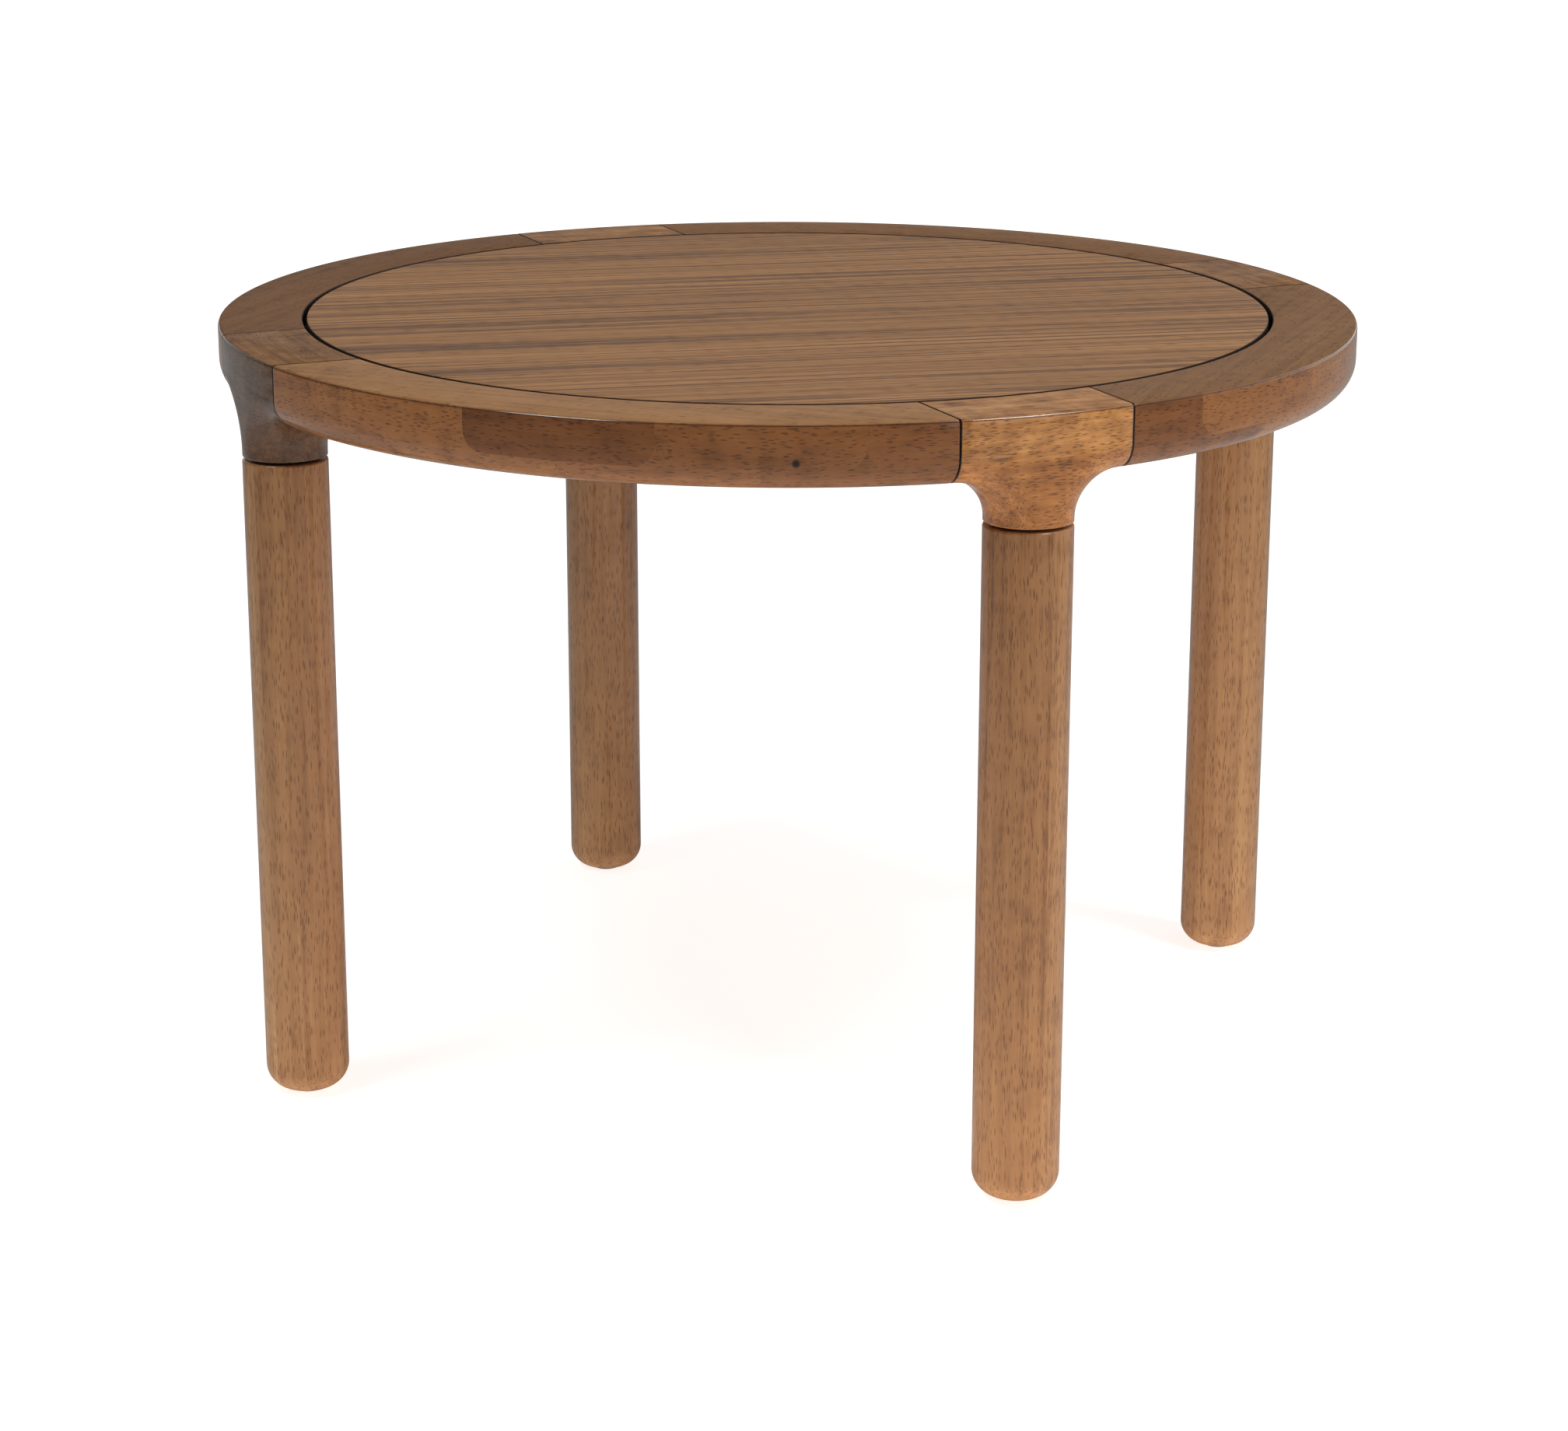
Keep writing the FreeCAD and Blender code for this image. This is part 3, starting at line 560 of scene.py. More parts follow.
# %% [markdown]
# The small parts: zinc-plated screws and bolts have a fine blotchy grey, the inserts are brass, the
# washers black rubber, the glides grained black plastic and the dowels beech. Each is a plain
# shader with one noise that varies its colour and roughness at the scale of the real surface.

# %% Small parts' finishes
GRIT_DEPTH = 0.05 * MM
METAL = {"Metallic": 1.0}


def small_finish(name, dark, light, grit, roughness, **surface):
    """Finish whose colour and roughness drift between two values; grit is their size in metres."""
    material, tree = new_material(name)
    where = add(tree, "TexCoord", out="Object")
    speck = add(tree, "TexNoise", {"Vector": where, "Scale": 1 / grit, "Detail": 3.0})
    inputs = {
        "Base Color": add(tree, "Mix", {0: speck, 6: linear(dark), 7: linear(light)}, **RGBA),
        "Roughness": add(tree, "MapRange", speck, 0.0, 1.0, *roughness),
        "Normal": add(tree, "Bump", {"Height": speck, "Distance": GRIT_DEPTH, "Strength": 0.5}),
    }
    add(tree, "OutputMaterial", add(tree, "BsdfPrincipled", {**inputs, **surface}))
    print(name, len(tree.nodes), "nodes")
    return material


zinc_steel = small_finish("zinc_plated_steel", "#9b9fa3", "#c3c6c9", 0.0015, (0.28, 0.45), **METAL)
screw_steel = small_finish("zinc_plated_screw_steel", "#8f8a78", "#b9b29b", 0.001, (0.3, 0.5), **METAL)
brass = small_finish("turned_brass", "#b08a45", "#cba65c", 0.001, (0.25, 0.4), **METAL)
rubber = small_finish("black_rubber", "#141312", "#1f1d1b", 0.0006, (0.7, 0.9), IOR=1.5)
plastic = small_finish("grained_black_polyethylene", "#1b1a19", "#2b2927", 0.0004, (0.5, 0.7), IOR=1.5)
beech = small_finish("beech_dowel", "#b48a5f", "#cda679", 0.001, (0.6, 0.75), IOR=1.5)

# %% [markdown]
# Most of the wood is long sections carried round the table. One function stacks closed loops of
# points into a solid, and another makes such loops by sweeping a section from one end to the other.
# The ends are cut parallel to the leg block, not square to the curve, so each point of the section
# gets its own end angle from its own radius.

# %% Stack loops, sweep a section round the table
MERGE_DISTANCE = 0.002 * MM
SHARP_ANGLE = radians(35)


def arc(centre, radius, first, last, steps):
    """Points of an arc in the plane of radius and height; angles in degrees."""
    angles = np.radians(np.linspace(first, last, steps + 1))
    return [(centre[0] + radius * cos(a), centre[1] + radius * sin(a)) for a in angles]


def mesh_object(name, vertices, faces):
    """Object at the origin with its place in its mesh, normals outwards, smooth but for sharp edges."""
    mesh = bpy.data.meshes.new(name)
    mesh.from_pydata(vertices, [], [tuple(face) for face in faces])
    form = bmesh.new()
    form.from_mesh(mesh)
    bmesh.ops.remove_doubles(form, verts=form.verts, dist=MERGE_DISTANCE)
    bmesh.ops.recalc_face_normals(form, faces=form.faces)
    print(name, len(form.faces), "faces, open edges", sum(not e.is_manifold for e in form.edges))
    form.to_mesh(mesh)
    form.free()
    mesh.shade_smooth()
    mesh.set_sharp_from_angle(angle=SHARP_ANGLE)
    return new_object(name, mesh)


def stacked(name, *stacks):
    """Closed mesh from stacks of loops of equal length, each stack with both its ends filled."""
    vertices, faces = [], []
    for loops in stacks:
        first, count = len(vertices), len(loops[0])
        vertices += [point for loop in loops for point in loop]
        for start in range(first, len(vertices) - count, count):
            for k in range(count):
                a, b = start + k, start + (k + 1) % count
                faces.append((a, b, b + count, a + count))
        faces += [range(first, first + count), range(len(vertices) - count, len(vertices))]
    return mesh_object(name, vertices, faces)


def swept(name, section, middle, reach, shares):
    """Closed section swept about the table's axis; reach gives half the angle for a radius."""
    loops = []
    for share in shares:
        turned = [(r, middle + share * reach(r), z) for r, z in section]
        loops.append([(r * cos(a), r * sin(a), z) for r, a, z in turned])
    return stacked(name, loops)


def ease_edges(piece):
    """Small bevel on the sharp edges, as a plane or sandpaper leaves them."""
    bevel = piece.modifiers.new("eased_edges", "BEVEL")
    bevel.width = SEAM_BEVEL
    bevel.segments = 2
    bevel.limit_method = "ANGLE"
    bevel.angle_limit = radians(40)
    bevel.harden_normals = True


def panel_seat():
    """Inner part of a section: eased top edge, panel seat and ledge."""
    seat = arc((RING_INNER + PANEL_ROUND, TOP - PANEL_ROUND), PANEL_ROUND, 90, 180, 3)
    seat += [(RING_INNER, PANEL_UNDERSIDE), (LEDGE_INNER, PANEL_UNDERSIDE)]
    corner = (LEDGE_INNER + LEDGE_ROUND, RING_UNDERSIDE + LEDGE_ROUND)
    return seat + arc(corner, LEDGE_ROUND, 180, 270, 4)


def ring_section():
    """Section of the ring: under-round, outer face, eased top edge and panel seat."""
    section = arc((RADIUS - UNDER_ROUND, RING_UNDERSIDE + UNDER_ROUND), UNDER_ROUND, -90, 0, 14)
    section += arc((RADIUS - TOP_ROUND, TOP - TOP_ROUND), TOP_ROUND, 0, 90, 6)
    return section + panel_seat()


print("ring section", len(ring_section()), "points")

# %% [markdown]
# The four ring segments are the same rail, turned a quarter each time. On the real table each is
# a glued-up arc of short boards, sawn to the curve and rounded under with a large cutter. Sockets
# for the screws that hold the panel are cut into the underside with a Boolean.

# %% Ring segments
SCREW_CIRCLE = LEDGE_INNER + 6 * MM
SCREW_TURNS = (-22, 0, 22)
SOCKET_RADIUS = 4.3 * MM
SOCKET_DEPTH = 12 * MM
# The columns next to the ends keep the light on the eased seam edges from running into the rail
RAIL_SHARES = [-1.0, *np.linspace(-0.993, 0.993, 71), 1.0]


def segment_reach(radius):
    return radians(45) - asin((BLOCK_HALF + SEAM) / radius)


def applied(piece):
    """The piece with its modifiers in its mesh."""
    graph = bpy.context.evaluated_depsgraph_get()
    mesh = bpy.data.meshes.new_from_object(piece.evaluated_get(graph))
    piece.modifiers.clear()
    piece.data = mesh
    return piece


def combined(first, second, operation):
    """Boolean of two solids as one mesh; the second is used up."""
    boolean = first.modifiers.new("boolean", "BOOLEAN")
    boolean.operation = operation
    boolean.solver = "EXACT"
    boolean.object = second
    applied(first)
    bpy.data.objects.remove(second)
    return first


def loop_about(axis, radii, height):
    """Closed loop of points about an upright axis, one for each radius."""
    turns = np.linspace(0, 2 * pi, len(radii), endpoint=False)
    return [(axis[0] + r * cos(t), axis[1] + r * sin(t), height) for r, t in zip(radii, turns)]


def socket_cutters():
    """Three short cylinders, where the screws of one segment go up through its ledge."""
    ends = (RING_UNDERSIDE - SOCKET_DEPTH, RING_UNDERSIDE + SOCKET_DEPTH)
    spots = [polar(SCREW_CIRCLE, turn) for turn in SCREW_TURNS]
    cylinders = [[loop_about(spot, [SOCKET_RADIUS] * 32, height) for height in ends] for spot in spots]
    return stacked("socket_cutters", *cylinders)


def turned_copies(piece, name, headings):
    """Copies of a piece turned about the table's axis, with the turn in their meshes."""
    copies = {}
    for place, degrees in headings.items():
        mesh = piece.data.copy()
        mesh.transform(rotation(degrees))
        mesh.set_sharp_from_angle(angle=SHARP_ANGLE)
        copies[place] = new_object(name + place, mesh)
    bpy.data.objects.remove(piece)
    print(name, list(copies), "with", len(mesh.polygons), "faces each")
    return copies


pattern_rail = swept("ring_rail", ring_section(), 0.0, segment_reach, RAIL_SHARES)
ease_edges(pattern_rail)
combined(pattern_rail, socket_cutters(), "DIFFERENCE")
rails = turned_copies(pattern_rail, "ring_rail_", SEGMENTS)

# %% [markdown]
# The leg block is the piece that gives the table its character. Seen from outside it is a wide T
# whose underside sweeps down in two concave flanks to a round neck. The cutter that rounds the
# ring's lower edge follows that outline down the neck, and its rounding grows until the neck is a
# full circle. The mesh is built the same way: the outline is a path, and each point of the path
# carries a quarter round to the outer face and one to the inner face.

# %% Leg block, outline of the flanks
FLANK = 24 * MM
NECK_ROUND = 24.2 * MM
HOLE_RADIUS = 7.1 * MM
HOLE_DEPTH = 25.1 * MM


def flank_path():
    """Points (across, height), inward normal, rounding radius and roundness of the neck."""
    bend = RING_UNDERSIDE - FLANK
    straight = (BLOCK_UNDERSIDE, (BLOCK_UNDERSIDE + bend) / 2)
    rows = [((NECK, height), (-1.0, 0.0), 0.0) for height in straight]
    for beta in np.radians(np.linspace(0, 90, 25)):
        across = NECK + FLANK * (1 - cos(beta))
        height = bend + FLANK * sin(beta)
        rows.append(((across, height), (-cos(beta), sin(beta)), beta / (pi / 2)))
    rows.append(((BLOCK_HALF, RING_UNDERSIDE), (0.0, 1.0), 1.0))
    path = []
    for point, normal, share in rows:
        ease = share * share * (3 - 2 * share)
        path.append([point, normal, NECK_ROUND + (UNDER_ROUND - NECK_ROUND) * ease, 1 - ease])
    # Half a millimetre more on the last one, so that its loop clears the loop before it
    path[-1][2] += 0.5 * MM
    return path


def outward(radius, across, roundness):
    """Distance from the leg's axis along the radius, on the ring's curve or on the neck's circle."""
    curved = sqrt(radius * radius - across * across) - LEG_CIRCLE
    return curved * (1 - roundness) + (radius - LEG_CIRCLE) * roundness


def block_loop(point, normal, rounding, roundness, turns=12, across_steps=24):
    """One closed loop of the block for one point of its flank path, from the +x flank."""
    outer, inner = [], []
    for alpha in np.radians(np.linspace(0, 90, turns + 1)):
        shift = rounding * (1 - cos(alpha))
        across = point[0] + shift * normal[0]
        height = point[1] + shift * normal[1]
        inset = rounding * (1 - sin(alpha))
        outer.append((across, outward(RADIUS - inset, across, roundness), height))
        inner.append((across, outward(LEG_CIRCLE - NECK + inset, across, roundness), height))
    # The two widest loops run close together on the upright faces, so their points line up there
    edge = min(outer[-1][0], NECK + FLANK)
    between = np.linspace(edge, -edge, across_steps + 1)[1:-1]
    front = [(x, outward(RADIUS, x, roundness), height) for x in between]
    back = [(-x, outward(LEG_CIRCLE - NECK, -x, roundness), height) for x in between]
    mirrored = [[(-x, y, z) for x, y, z in side] for side in (outer, inner)]
    return outer + front + mirrored[0][::-1] + mirrored[1] + back + inner[::-1]


def top_loops(seam_loop):
    """Loops from the seam up to the top face, with its eased outer edge."""
    loops = []
    crest = TOP - TOP_ROUND
    for share in (0.33, 0.66, 1.0):
        loops.append([(x, y, z + (crest - z) * share) for x, y, z in seam_loop])
    for gamma in np.radians(np.linspace(0, 90, 7)[1:]):
        inset = TOP_ROUND * (1 - cos(gamma))
        height = crest + TOP_ROUND * sin(gamma)
        shares = [1 - inset / outward(RADIUS, x, 0.0) if y > 0 else 1 for x, y, _ in seam_loop]
        loops.append([(x, y * share, height) for (x, y, _), share in zip(seam_loop, shares)])
    return loops


print("flank path", len(flank_path()), "points")

# %% [markdown]
# The loops are stacked from the hole for the threaded insert, over the flat end of the neck, up
# the flanks to the top. The ledge that carries the panel is swept like the ring's, and a Boolean
# joins the two into one closed solid. One block is made, and the other three are turned copies.

# %% Leg block, solid
# Both lie inside the block
LEDGE_END = RING_INNER + 14 * MM
LEDGE_FOOT = LEG_CIRCLE - 4 * MM


def block_solid():
    loops = [block_loop(*row) for row in flank_path()]
    inwards = [HOLE_RADIUS / hypot(x, y) for x, y, _ in loops[0]]
    hole = [(x * share, y * share, z) for (x, y, z), share in zip(loops[0], inwards)]
    hole_end = [(x, y, z + HOLE_DEPTH) for x, y, z in hole]
    body = stacked("leg_block", [hole_end, hole] + loops + top_loops(loops[-1]))
    for vertex in body.data.vertices:
        vertex.co.y += LEG_CIRCLE
    ease_edges(body)
    section = [(LEDGE_END, TOP), *panel_seat(), (LEDGE_FOOT, RING_UNDERSIDE)]
    section += [(LEDGE_FOOT, PANEL_UNDERSIDE), (LEDGE_END, PANEL_UNDERSIDE)]
    ledge = swept("block_ledge", section, pi / 2, lambda r: asin(BLOCK_HALF / r), np.linspace(-1, 1, 25))
    ease_edges(ledge)
    return combined(body, applied(ledge), "UNION")


# The pattern block lies at 90 degrees
BLOCK_TURNS = {place: degrees - 90 for place, degrees in LEGS.items()}
blocks = turned_copies(block_solid(), "leg_corbel_", BLOCK_TURNS)

# %% [markdown]
# The panel is a round board. Its edge is only broken, so it is a disc of rings with a small round
# on the upper edge; the veneer's thickness shows in the material, not in the shape.


# %% Top panel
def lathe(name, section, steps=192):
    """Solid of revolution about the table's axis, from a section that starts and ends on it."""
    vertices, faces, count = [], [], len(section)
    for turn in np.linspace(0, 2 * pi, steps, endpoint=False):
        vertices += [(r * cos(turn), r * sin(turn), z) for r, z in section]
    for column in range(steps):
        here, there = column * count, (column + 1) % steps * count
        faces += [(here + k, here + k + 1, there + k + 1, there + k) for k in range(count - 1)]
    return mesh_object(name, vertices, faces)


panel_section = [(0.0, PANEL_UNDERSIDE), (PANEL_RADIUS, PANEL_UNDERSIDE)]
panel_section += arc((PANEL_RADIUS - PANEL_ROUND, TOP - PANEL_ROUND), PANEL_ROUND, 0, 90, 4)
panel_section += [(PANEL_RADIUS * share, TOP) for share in (0.97, 0.8, 0.6, 0.4, 0.2, 0.0)]
panel = lathe("veneered_panel", panel_section)

# %% [markdown]
# A leg is turned on a lathe, so one rule gives its whole shape: a radius for every height. A
# Geometry Nodes tree says that rule once. It lays points up the leg's axis, closer where the foot
# and the top are rounded, gives each its radius, and carries a circle along them.

# %% Turned leg, as a geometry tree
GEOMETRY = {"Geometry": "Geometry"}


def grown(name, tree, values):
    """Plain mesh object of a tree, with the modifier's inputs set by their identifiers."""
    piece = new_object(name, bpy.data.meshes.new(name + "_seed"))
    tree.is_modifier = True
    modifier = piece.modifiers.new("tree", "NODES")
    modifier.node_group = tree
    for item in tree.interface.items_tree:
        if item.in_out == "INPUT":
            modifier[item.identifier] = values[item.name]
    applied(piece).data.name = name
    return piece


def close_tree(tree, shape, material):
    """Ends a tree in a plain mesh with its material."""
    whole = add(tree, "GeometryNodeRealizeInstances", shape)
    dressed = add(tree, "GeometryNodeSetMaterial", {"Geometry": whole, "Material": material})
    add(tree, "NodeGroupOutput", dressed)
    print(tree.name, len(tree.nodes), "nodes")
    return tree


def turned_leg_tree(foot_steps=16, top_steps=8):
    sizes = ("Radius", "Foot height", "Top height", "Foot round", "Top round")
    inputs = {**dict.fromkeys(sizes, "Float"), "Finish": "Material"}
    tree, given = new_tree("turned_leg", "GeometryNodeTree", inputs, GEOMETRY)
    index = add(tree, "GeometryNodeInputIndex")
    # Foot: a quarter turn from the flat under it to its side
    foot_turn = add(tree, "Math.MULTIPLY", index, pi / 2 / foot_steps)
    foot_rise = add(tree, "Math.SUBTRACT", 1.0, add(tree, "Math.COSINE", foot_turn))
    foot_z = add(tree, "Math.MULTIPLY_ADD", foot_rise, given["Foot round"], given["Foot height"])
    foot_gain = add(tree, "Math.SUBTRACT", add(tree, "Math.SINE", foot_turn), 1.0)
    foot_r = add(tree, "Math.MULTIPLY_ADD", foot_gain, given["Foot round"], given["Radius"])
    # Top: a quarter turn from the side to the flat end
    late = add(tree, "Math.SUBTRACT", index, foot_steps + 1.0)
    top_turn = add(tree, "Math.MULTIPLY", late, pi / 2 / top_steps)
    top_gain = add(tree, "Math.SUBTRACT", add(tree, "Math.SINE", top_turn), 1.0)
    top_z = add(tree, "Math.MULTIPLY_ADD", top_gain, given["Top round"], given["Top height"])
    top_loss = add(tree, "Math.SUBTRACT", add(tree, "Math.COSINE", top_turn), 1.0)
    top_r = add(tree, "Math.MULTIPLY_ADD", top_loss, given["Top round"], given["Radius"])
    upper = add(tree, "Math.GREATER_THAN", index, foot_steps + 0.5)
    height = add(tree, "Mix", {0: upper, 2: foot_z, 3: top_z})
    radius = add(tree, "Mix", {0: upper, 2: foot_r, 3: top_r})
    line = add(tree, "GeometryNodeMeshLine", foot_steps + top_steps + 2)
    spot = {"Geometry": line, "Position": add(tree, "CombineXYZ", {"Z": height})}
    placed = add(tree, "GeometryNodeSetPosition", spot)
    axis = add(tree, "GeometryNodeMeshToCurve", placed)
    circle = add(tree, "GeometryNodeCurvePrimitiveCircle", {"Resolution": 96, "Radius": 1.0})
    section = {"Curve": axis, "Profile Curve": circle, "Scale": radius, "Fill Caps": True}
    return close_tree(tree, add(tree, "GeometryNodeCurveToMesh", section), given["Finish"])


# %% Legs
leg_sizes = {"Radius": LEG_RADIUS, "Foot height": LEG_FOOT, "Top height": LEG_TOP}
leg_sizes.update({"Foot round": 15.4 * MM, "Top round": 1.5 * MM, "Finish": leg_wood})
pattern_leg = grown("turned_leg", turned_leg_tree(), leg_sizes)
pattern_leg.data.transform(Matrix.Translation((0, LEG_CIRCLE, 0)))
pattern_leg.data.shade_smooth()
legs = turned_copies(pattern_leg, "turned_leg_", BLOCK_TURNS)

# %% [markdown]
# Unscrewed, a leg shows the upper end of its hanger bolt, so the bolt gets its real thread. The
# thread is one rule too: the radius rises and falls with the height, and the height of each crest
# climbs by one pitch in a turn. The lower end sits in the leg and stays a plain rod.

# %% Hanger bolts
BOLT_LOW, BOLT_HIGH = heights("hanger_bolt_front_left")
BOLT_RADIUS = 4 * MM
BOLT_TIP = 0.8 * MM
BOLT_TAPER = 5 * MM
BOLT_CHAMFER = 0.8 * MM
PITCH = 1.25 * MM
THREAD_DEPTH = 0.65 * MM


def threaded_bolt(name, axis, steps=32, per_pitch=6):
    """Rod with a thread from just below the leg's top to its upper end."""
    start = LEG_TOP - 2 * PITCH
    turns = np.linspace(0, 1, steps, endpoint=False)
    loops = [loop_about(axis, [BOLT_TIP] * steps, BOLT_LOW)]
    for height in (BOLT_LOW + BOLT_TAPER, start - 0.2 * MM):
        loops.append(loop_about(axis, [BOLT_RADIUS] * steps, height))
    for height in np.arange(start, BOLT_HIGH - BOLT_CHAMFER, PITCH / per_pitch):
        phases = ((height - start) / PITCH - turns) % 1.0
        loops.append(loop_about(axis, BOLT_RADIUS - THREAD_DEPTH * np.abs(2 * phases - 1), height))
    loops.append(loop_about(axis, [BOLT_RADIUS - THREAD_DEPTH] * steps, BOLT_HIGH))
    return stacked(name, loops)


bolts = {p: threaded_bolt("hanger_bolt_thread_" + p, polar(LEG_CIRCLE, a)) for p, a in LEGS.items()}

# %% [markdown]
# Twelve screws hold the panel down from below. They are one screw repeated, so a tree lays twelve
# points at their real angles, sets a screw on each, and makes the whole a mesh at the end.

# %% Panel screws
SCREW_SEAT = RING_UNDERSIDE + SOCKET_DEPTH
SCREW_TIP = PANEL_UNDERSIDE + 12 * MM


def screw_shape():
    """One screw about the origin, its seat at height zero, with a round recess in its head."""
    head, shank, length = 4 * MM, 2 * MM, SCREW_TIP - SCREW_SEAT
    section = [(0.0, -1.2 * MM), (0.7 * MM, -1.3 * MM), (1.5 * MM, -2.5 * MM), (3.2 * MM, -2.5 * MM)]
    section += [(head, -1.9 * MM), (head, 0.0), (shank, 0.0), (shank, length - 3 * MM), (0.0, length)]
    return lathe("panel_screw", section, steps=24)


def screw_ring_tree(each):
    """Screws on a circle, the same number in each quarter, spread about the quarter's middle."""
    sizes = dict.fromkeys(("Circle radius", "Height", "Spread"), "Float")
    inputs = {"Screw": "Object", **sizes, "Finish": "Material"}
    tree, given = new_tree("screws_on_a_circle", "GeometryNodeTree", inputs, GEOMETRY)
    index = add(tree, "GeometryNodeInputIndex")
    segment = add(tree, "Math.FLOOR", add(tree, "Math.DIVIDE", index, each))
    within = add(tree, "Math.SUBTRACT", add(tree, "Math.MODULO", index, each), (each - 1) / 2)
    offset = add(tree, "Math.MULTIPLY", within, given["Spread"])
    turn = add(tree, "Math.MULTIPLY_ADD", segment, pi / 2, offset)
    across = add(tree, "Math.MULTIPLY", add(tree, "Math.COSINE", turn), given["Circle radius"])
    along = add(tree, "Math.MULTIPLY", add(tree, "Math.SINE", turn), given["Circle radius"])
    spot = add(tree, "CombineXYZ", across, along, given["Height"])
    line = add(tree, "GeometryNodeMeshLine", 4 * each)
    placed = add(tree, "GeometryNodeSetPosition", {"Geometry": line, "Position": spot})
    shape = add(tree, "GeometryNodeObjectInfo", {"Object": given["Screw"]}, out="Geometry")
    copies = add(tree, "GeometryNodeInstanceOnPoints", {"Points": placed, "Instance": shape})
    return close_tree(tree, copies, given["Finish"])


pattern_screw = screw_shape()
screw_sizes = {"Circle radius": SCREW_CIRCLE, "Height": SCREW_SEAT, "Spread": radians(SCREW_TURNS[-1])}
screw_sizes.update({"Screw": pattern_screw, "Finish": screw_steel})
screws = grown("panel_screw_ring", screw_ring_tree(len(SCREW_TURNS)), screw_sizes)
bpy.data.objects.remove(pattern_screw)
print("screws", len(screws.data.polygons), "faces, box", [round(x, 4) for x in screws.dimensions])

# %% [markdown]
# Each piece now rides on the body that carries it, hides the part of the imported model that it
# stands for, and gets its material. Every part of the imported model that stays visible gets its
# material too.


# %% Fit the pieces to the frame and put the finishes on
def finish(piece, material):
    """Puts one material on all faces; a grown piece also has an empty slot from its seed mesh."""
    piece.data.materials.clear()
    piece.data.materials.append(material)
    piece.data.polygons.foreach_set("material_index", [0] * len(piece.data.polygons))


def fit(piece, body, node, material):
    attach(piece, body)
    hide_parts(node)
    finish(piece, material)


fit(panel, "table_top", "top_panel", panel_veneer)
fit(screws, "table_top", "panel_screws", screw_steel)
for place, rail in rails.items():
    fit(rail, "table_top", "ring_segment_" + place, ring_wood)
for place in LEGS:
    fit(blocks[place], "table_top", "leg_block_" + place, block_wood)
    fit(legs[place], place + "_leg", "leg_" + place, leg_wood)
    fit(bolts[place], place + "_leg", "hanger_bolt_" + place, zinc_steel)
KEPT = {"threaded_insert_": brass, "leg_washer_": rubber, "foot_glide_": plastic, "ring_dowels": beech}
for name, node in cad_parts.items():
    for stem, material in KEPT.items():
        if name.startswith(stem):
            for slot in node.material_slots:
                slot.material = material
print("kept nodes", sum(name.startswith(tuple(KEPT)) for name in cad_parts))

# %% [markdown]
# The studio is a pale floor under an even white sky. To the camera both are plain white, which is
# the colour of the photograph's background. Close to the table part of the floor's brightness is
# real light, so it still takes the table's shadow, and it throws a warm pool of light up the legs.
# The lacquer sees a dark room in front and white paper behind, as in a real studio: that keeps the
# upright faces deep and gives the top its sheen. A large softbox hangs over the table to the right
# and a weaker one in front on the left. Each stands where a stretch of the rounded rim mirrors it
# towards the camera, which draws the bright lines on the edge. A low one fills from the right.

# %% Floor and white surroundings
RIGHTWARDS = (*polar(1.0, CAMERA_HEADING), 0.0)
# Behind the table, and a little to the right so that the left end of the rim stays brown
BACKDROP = (*polar(1.0, 80), 0.0)
# In metres from the table's axis: where the pool of light ends, and where the floor turns white
POOL_EDGE = (1.2, 0.3)
WHITE_EDGE = (0.7, 2.5)


def sky_level(tree, way, start, end, low, high):
    """Brightness of the sky, which rises from low to high along a way across the studio."""
    direction = add(tree, "TexCoord", out="Generated")
    share = add(tree, "VectorMath.DOT_PRODUCT", direction, way, out="Value")
    return add(tree, "MapRange", share, start, end, low, high)


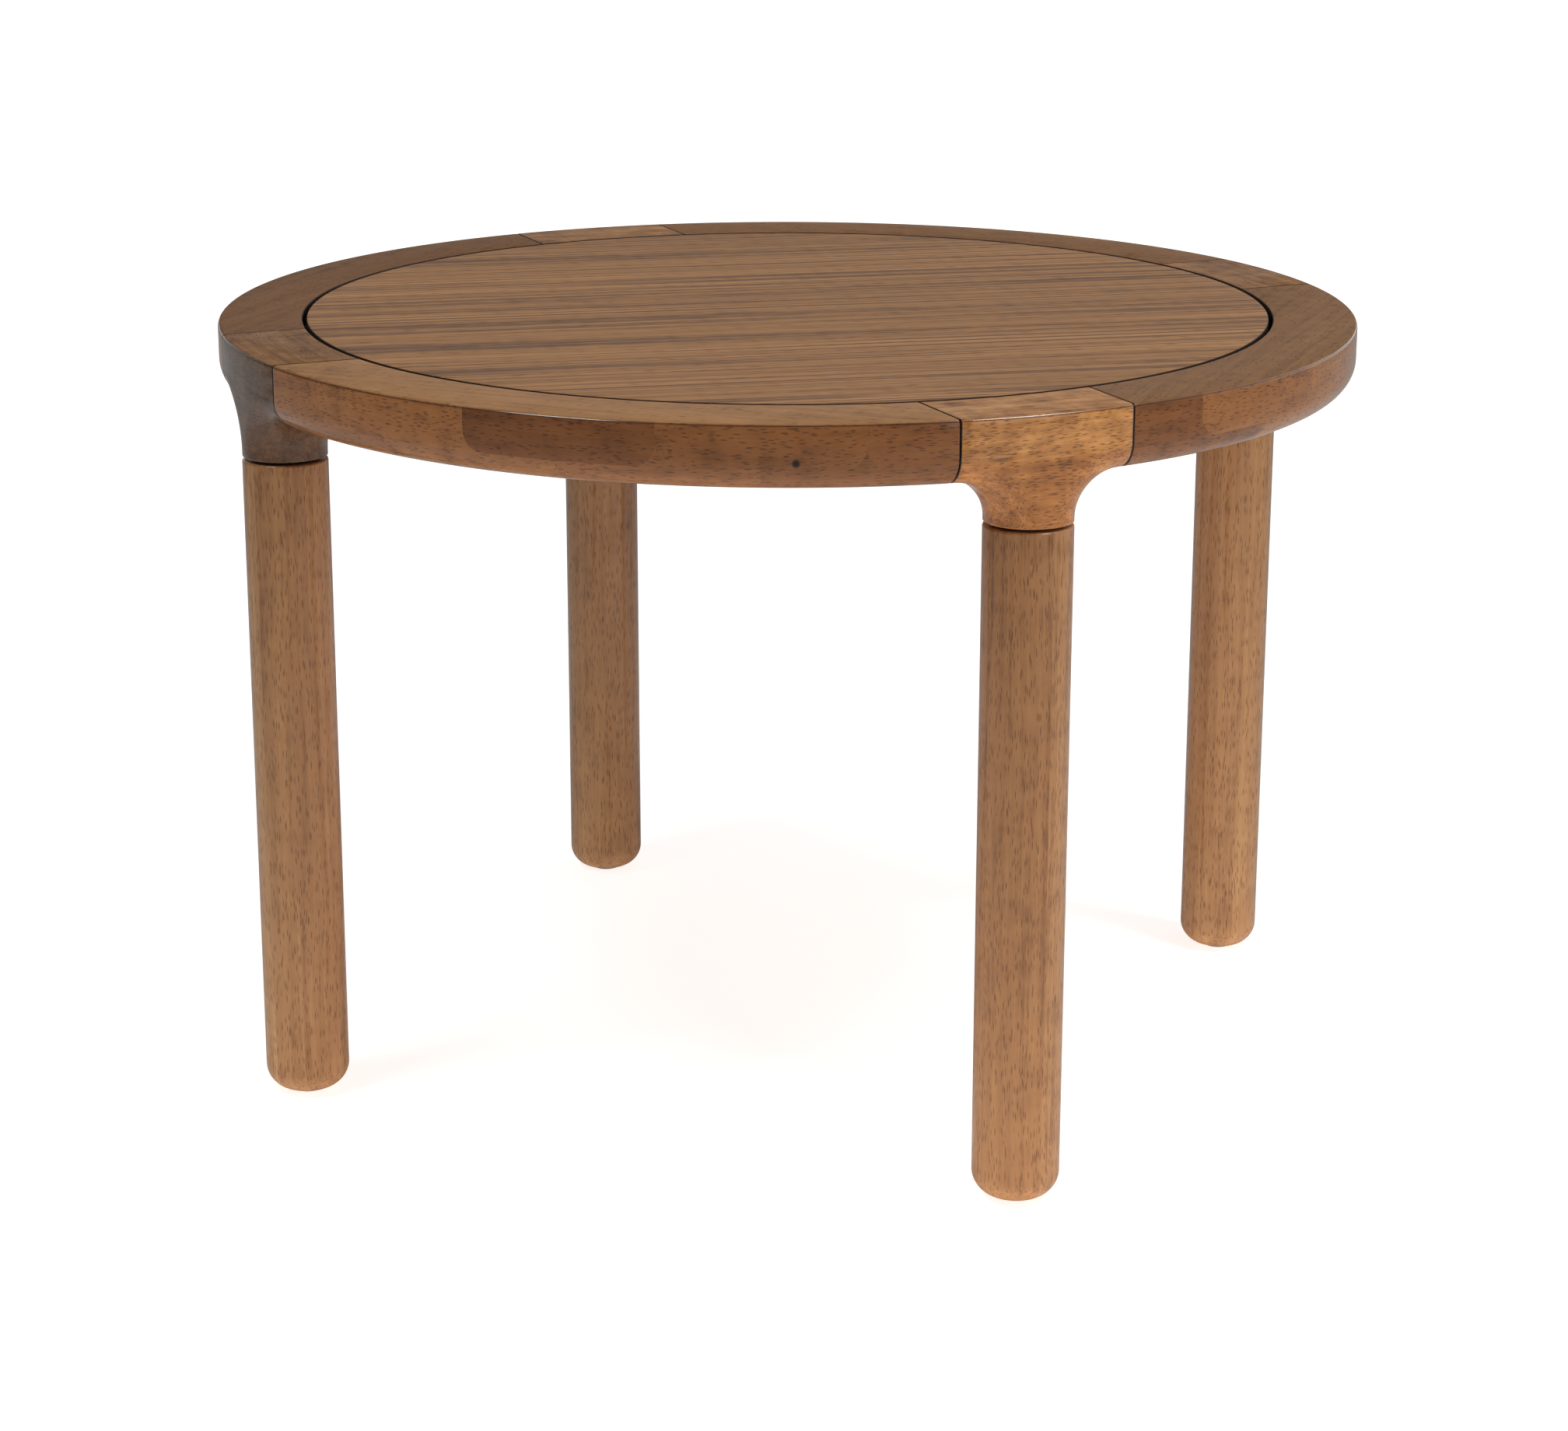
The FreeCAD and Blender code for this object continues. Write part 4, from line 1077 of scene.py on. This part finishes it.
def studio_floor(radius=12.0, glow=0.76, pool=1.5):
    section = [(0.0, -4 * MM), (radius, -4 * MM), (radius, 0.0), (0.0, 0.0)]
    floor = lathe("studio_floor", section, steps=64)
    material, tree = new_material("white_paper_sweep")
    paper = add(tree, "BsdfDiffuse", {"Color": linear("#e4e3e1")})
    off = add(tree, "VectorMath.LENGTH", add(tree, "TexCoord", out="Object"), out="Value")
    lit = add(tree, "MapRange", off, *POOL_EDGE, 0.0, pool, **SOFT)
    seen = add(tree, "MapRange", off, *WHITE_EDGE, glow, 1.0, **SOFT)
    rays = add(tree, "LightPath", out=None)
    lit = add(tree, "Math.MULTIPLY", lit, rays["Is Diffuse Ray"])
    eye = add(tree, "Math.MAXIMUM", rays["Is Camera Ray"], rays["Is Transmission Ray"])
    shine = add(tree, "MapRange", {0: eye, 3: lit, 4: seen})
    light = add(tree, "Emission", {"Color": WHITE, "Strength": shine})
    add(tree, "OutputMaterial", add(tree, "AddShader", paper, light))
    finish(floor, material)
    return floor


def white_sky(dim, bright):
    world = bpy.data.worlds.new("white_sky")
    bpy.context.scene.world = world
    world.use_nodes = True
    tree = world.node_tree
    tree.nodes.clear()
    rays = add(tree, "LightPath", out=None)
    lit = sky_level(tree, RIGHTWARDS, -1.0, 1.0, dim, bright)
    mirrored = sky_level(tree, BACKDROP, 0.1, 0.9, 0.12, 1.0)
    level = add(tree, "MapRange", {0: rays["Is Glossy Ray"], 3: lit, 4: mirrored})
    level = add(tree, "Math.MAXIMUM", level, rays["Is Camera Ray"])
    add(tree, "OutputWorld", add(tree, "Background", WHITE, level))


floor = studio_floor()
white_sky(0.08, 0.5)
print("floor at", round(max(v.co.z for v in floor.data.vertices), 4))

# %% Softboxes
TABLE_MIDDLE = Vector((0.0, 0.0, 0.35))


def softbox(name, spot, size, power):
    light = bpy.data.lights.new(name, "AREA")
    light.shape = "RECTANGLE"
    light.size, light.size_y = size
    light.energy = power
    lamp = new_object(name, light)
    lamp.location = spot
    lamp.rotation_euler = (TABLE_MIDDLE - Vector(spot)).to_track_quat("-Z", "Y").to_euler()


softbox("right_softbox", (1.4, -0.15, 2.4), (0.6, 0.7), 22)
softbox("left_softbox", (-0.8, -1.1, 2.2), (0.7, 0.35), 13)
softbox("side_softbox", (2.4, -1.3, 0.9), (1.2, 1.4), 6)
bpy.context.scene.view_settings.view_transform = "Standard"
print("softboxes", len(bpy.data.lights))
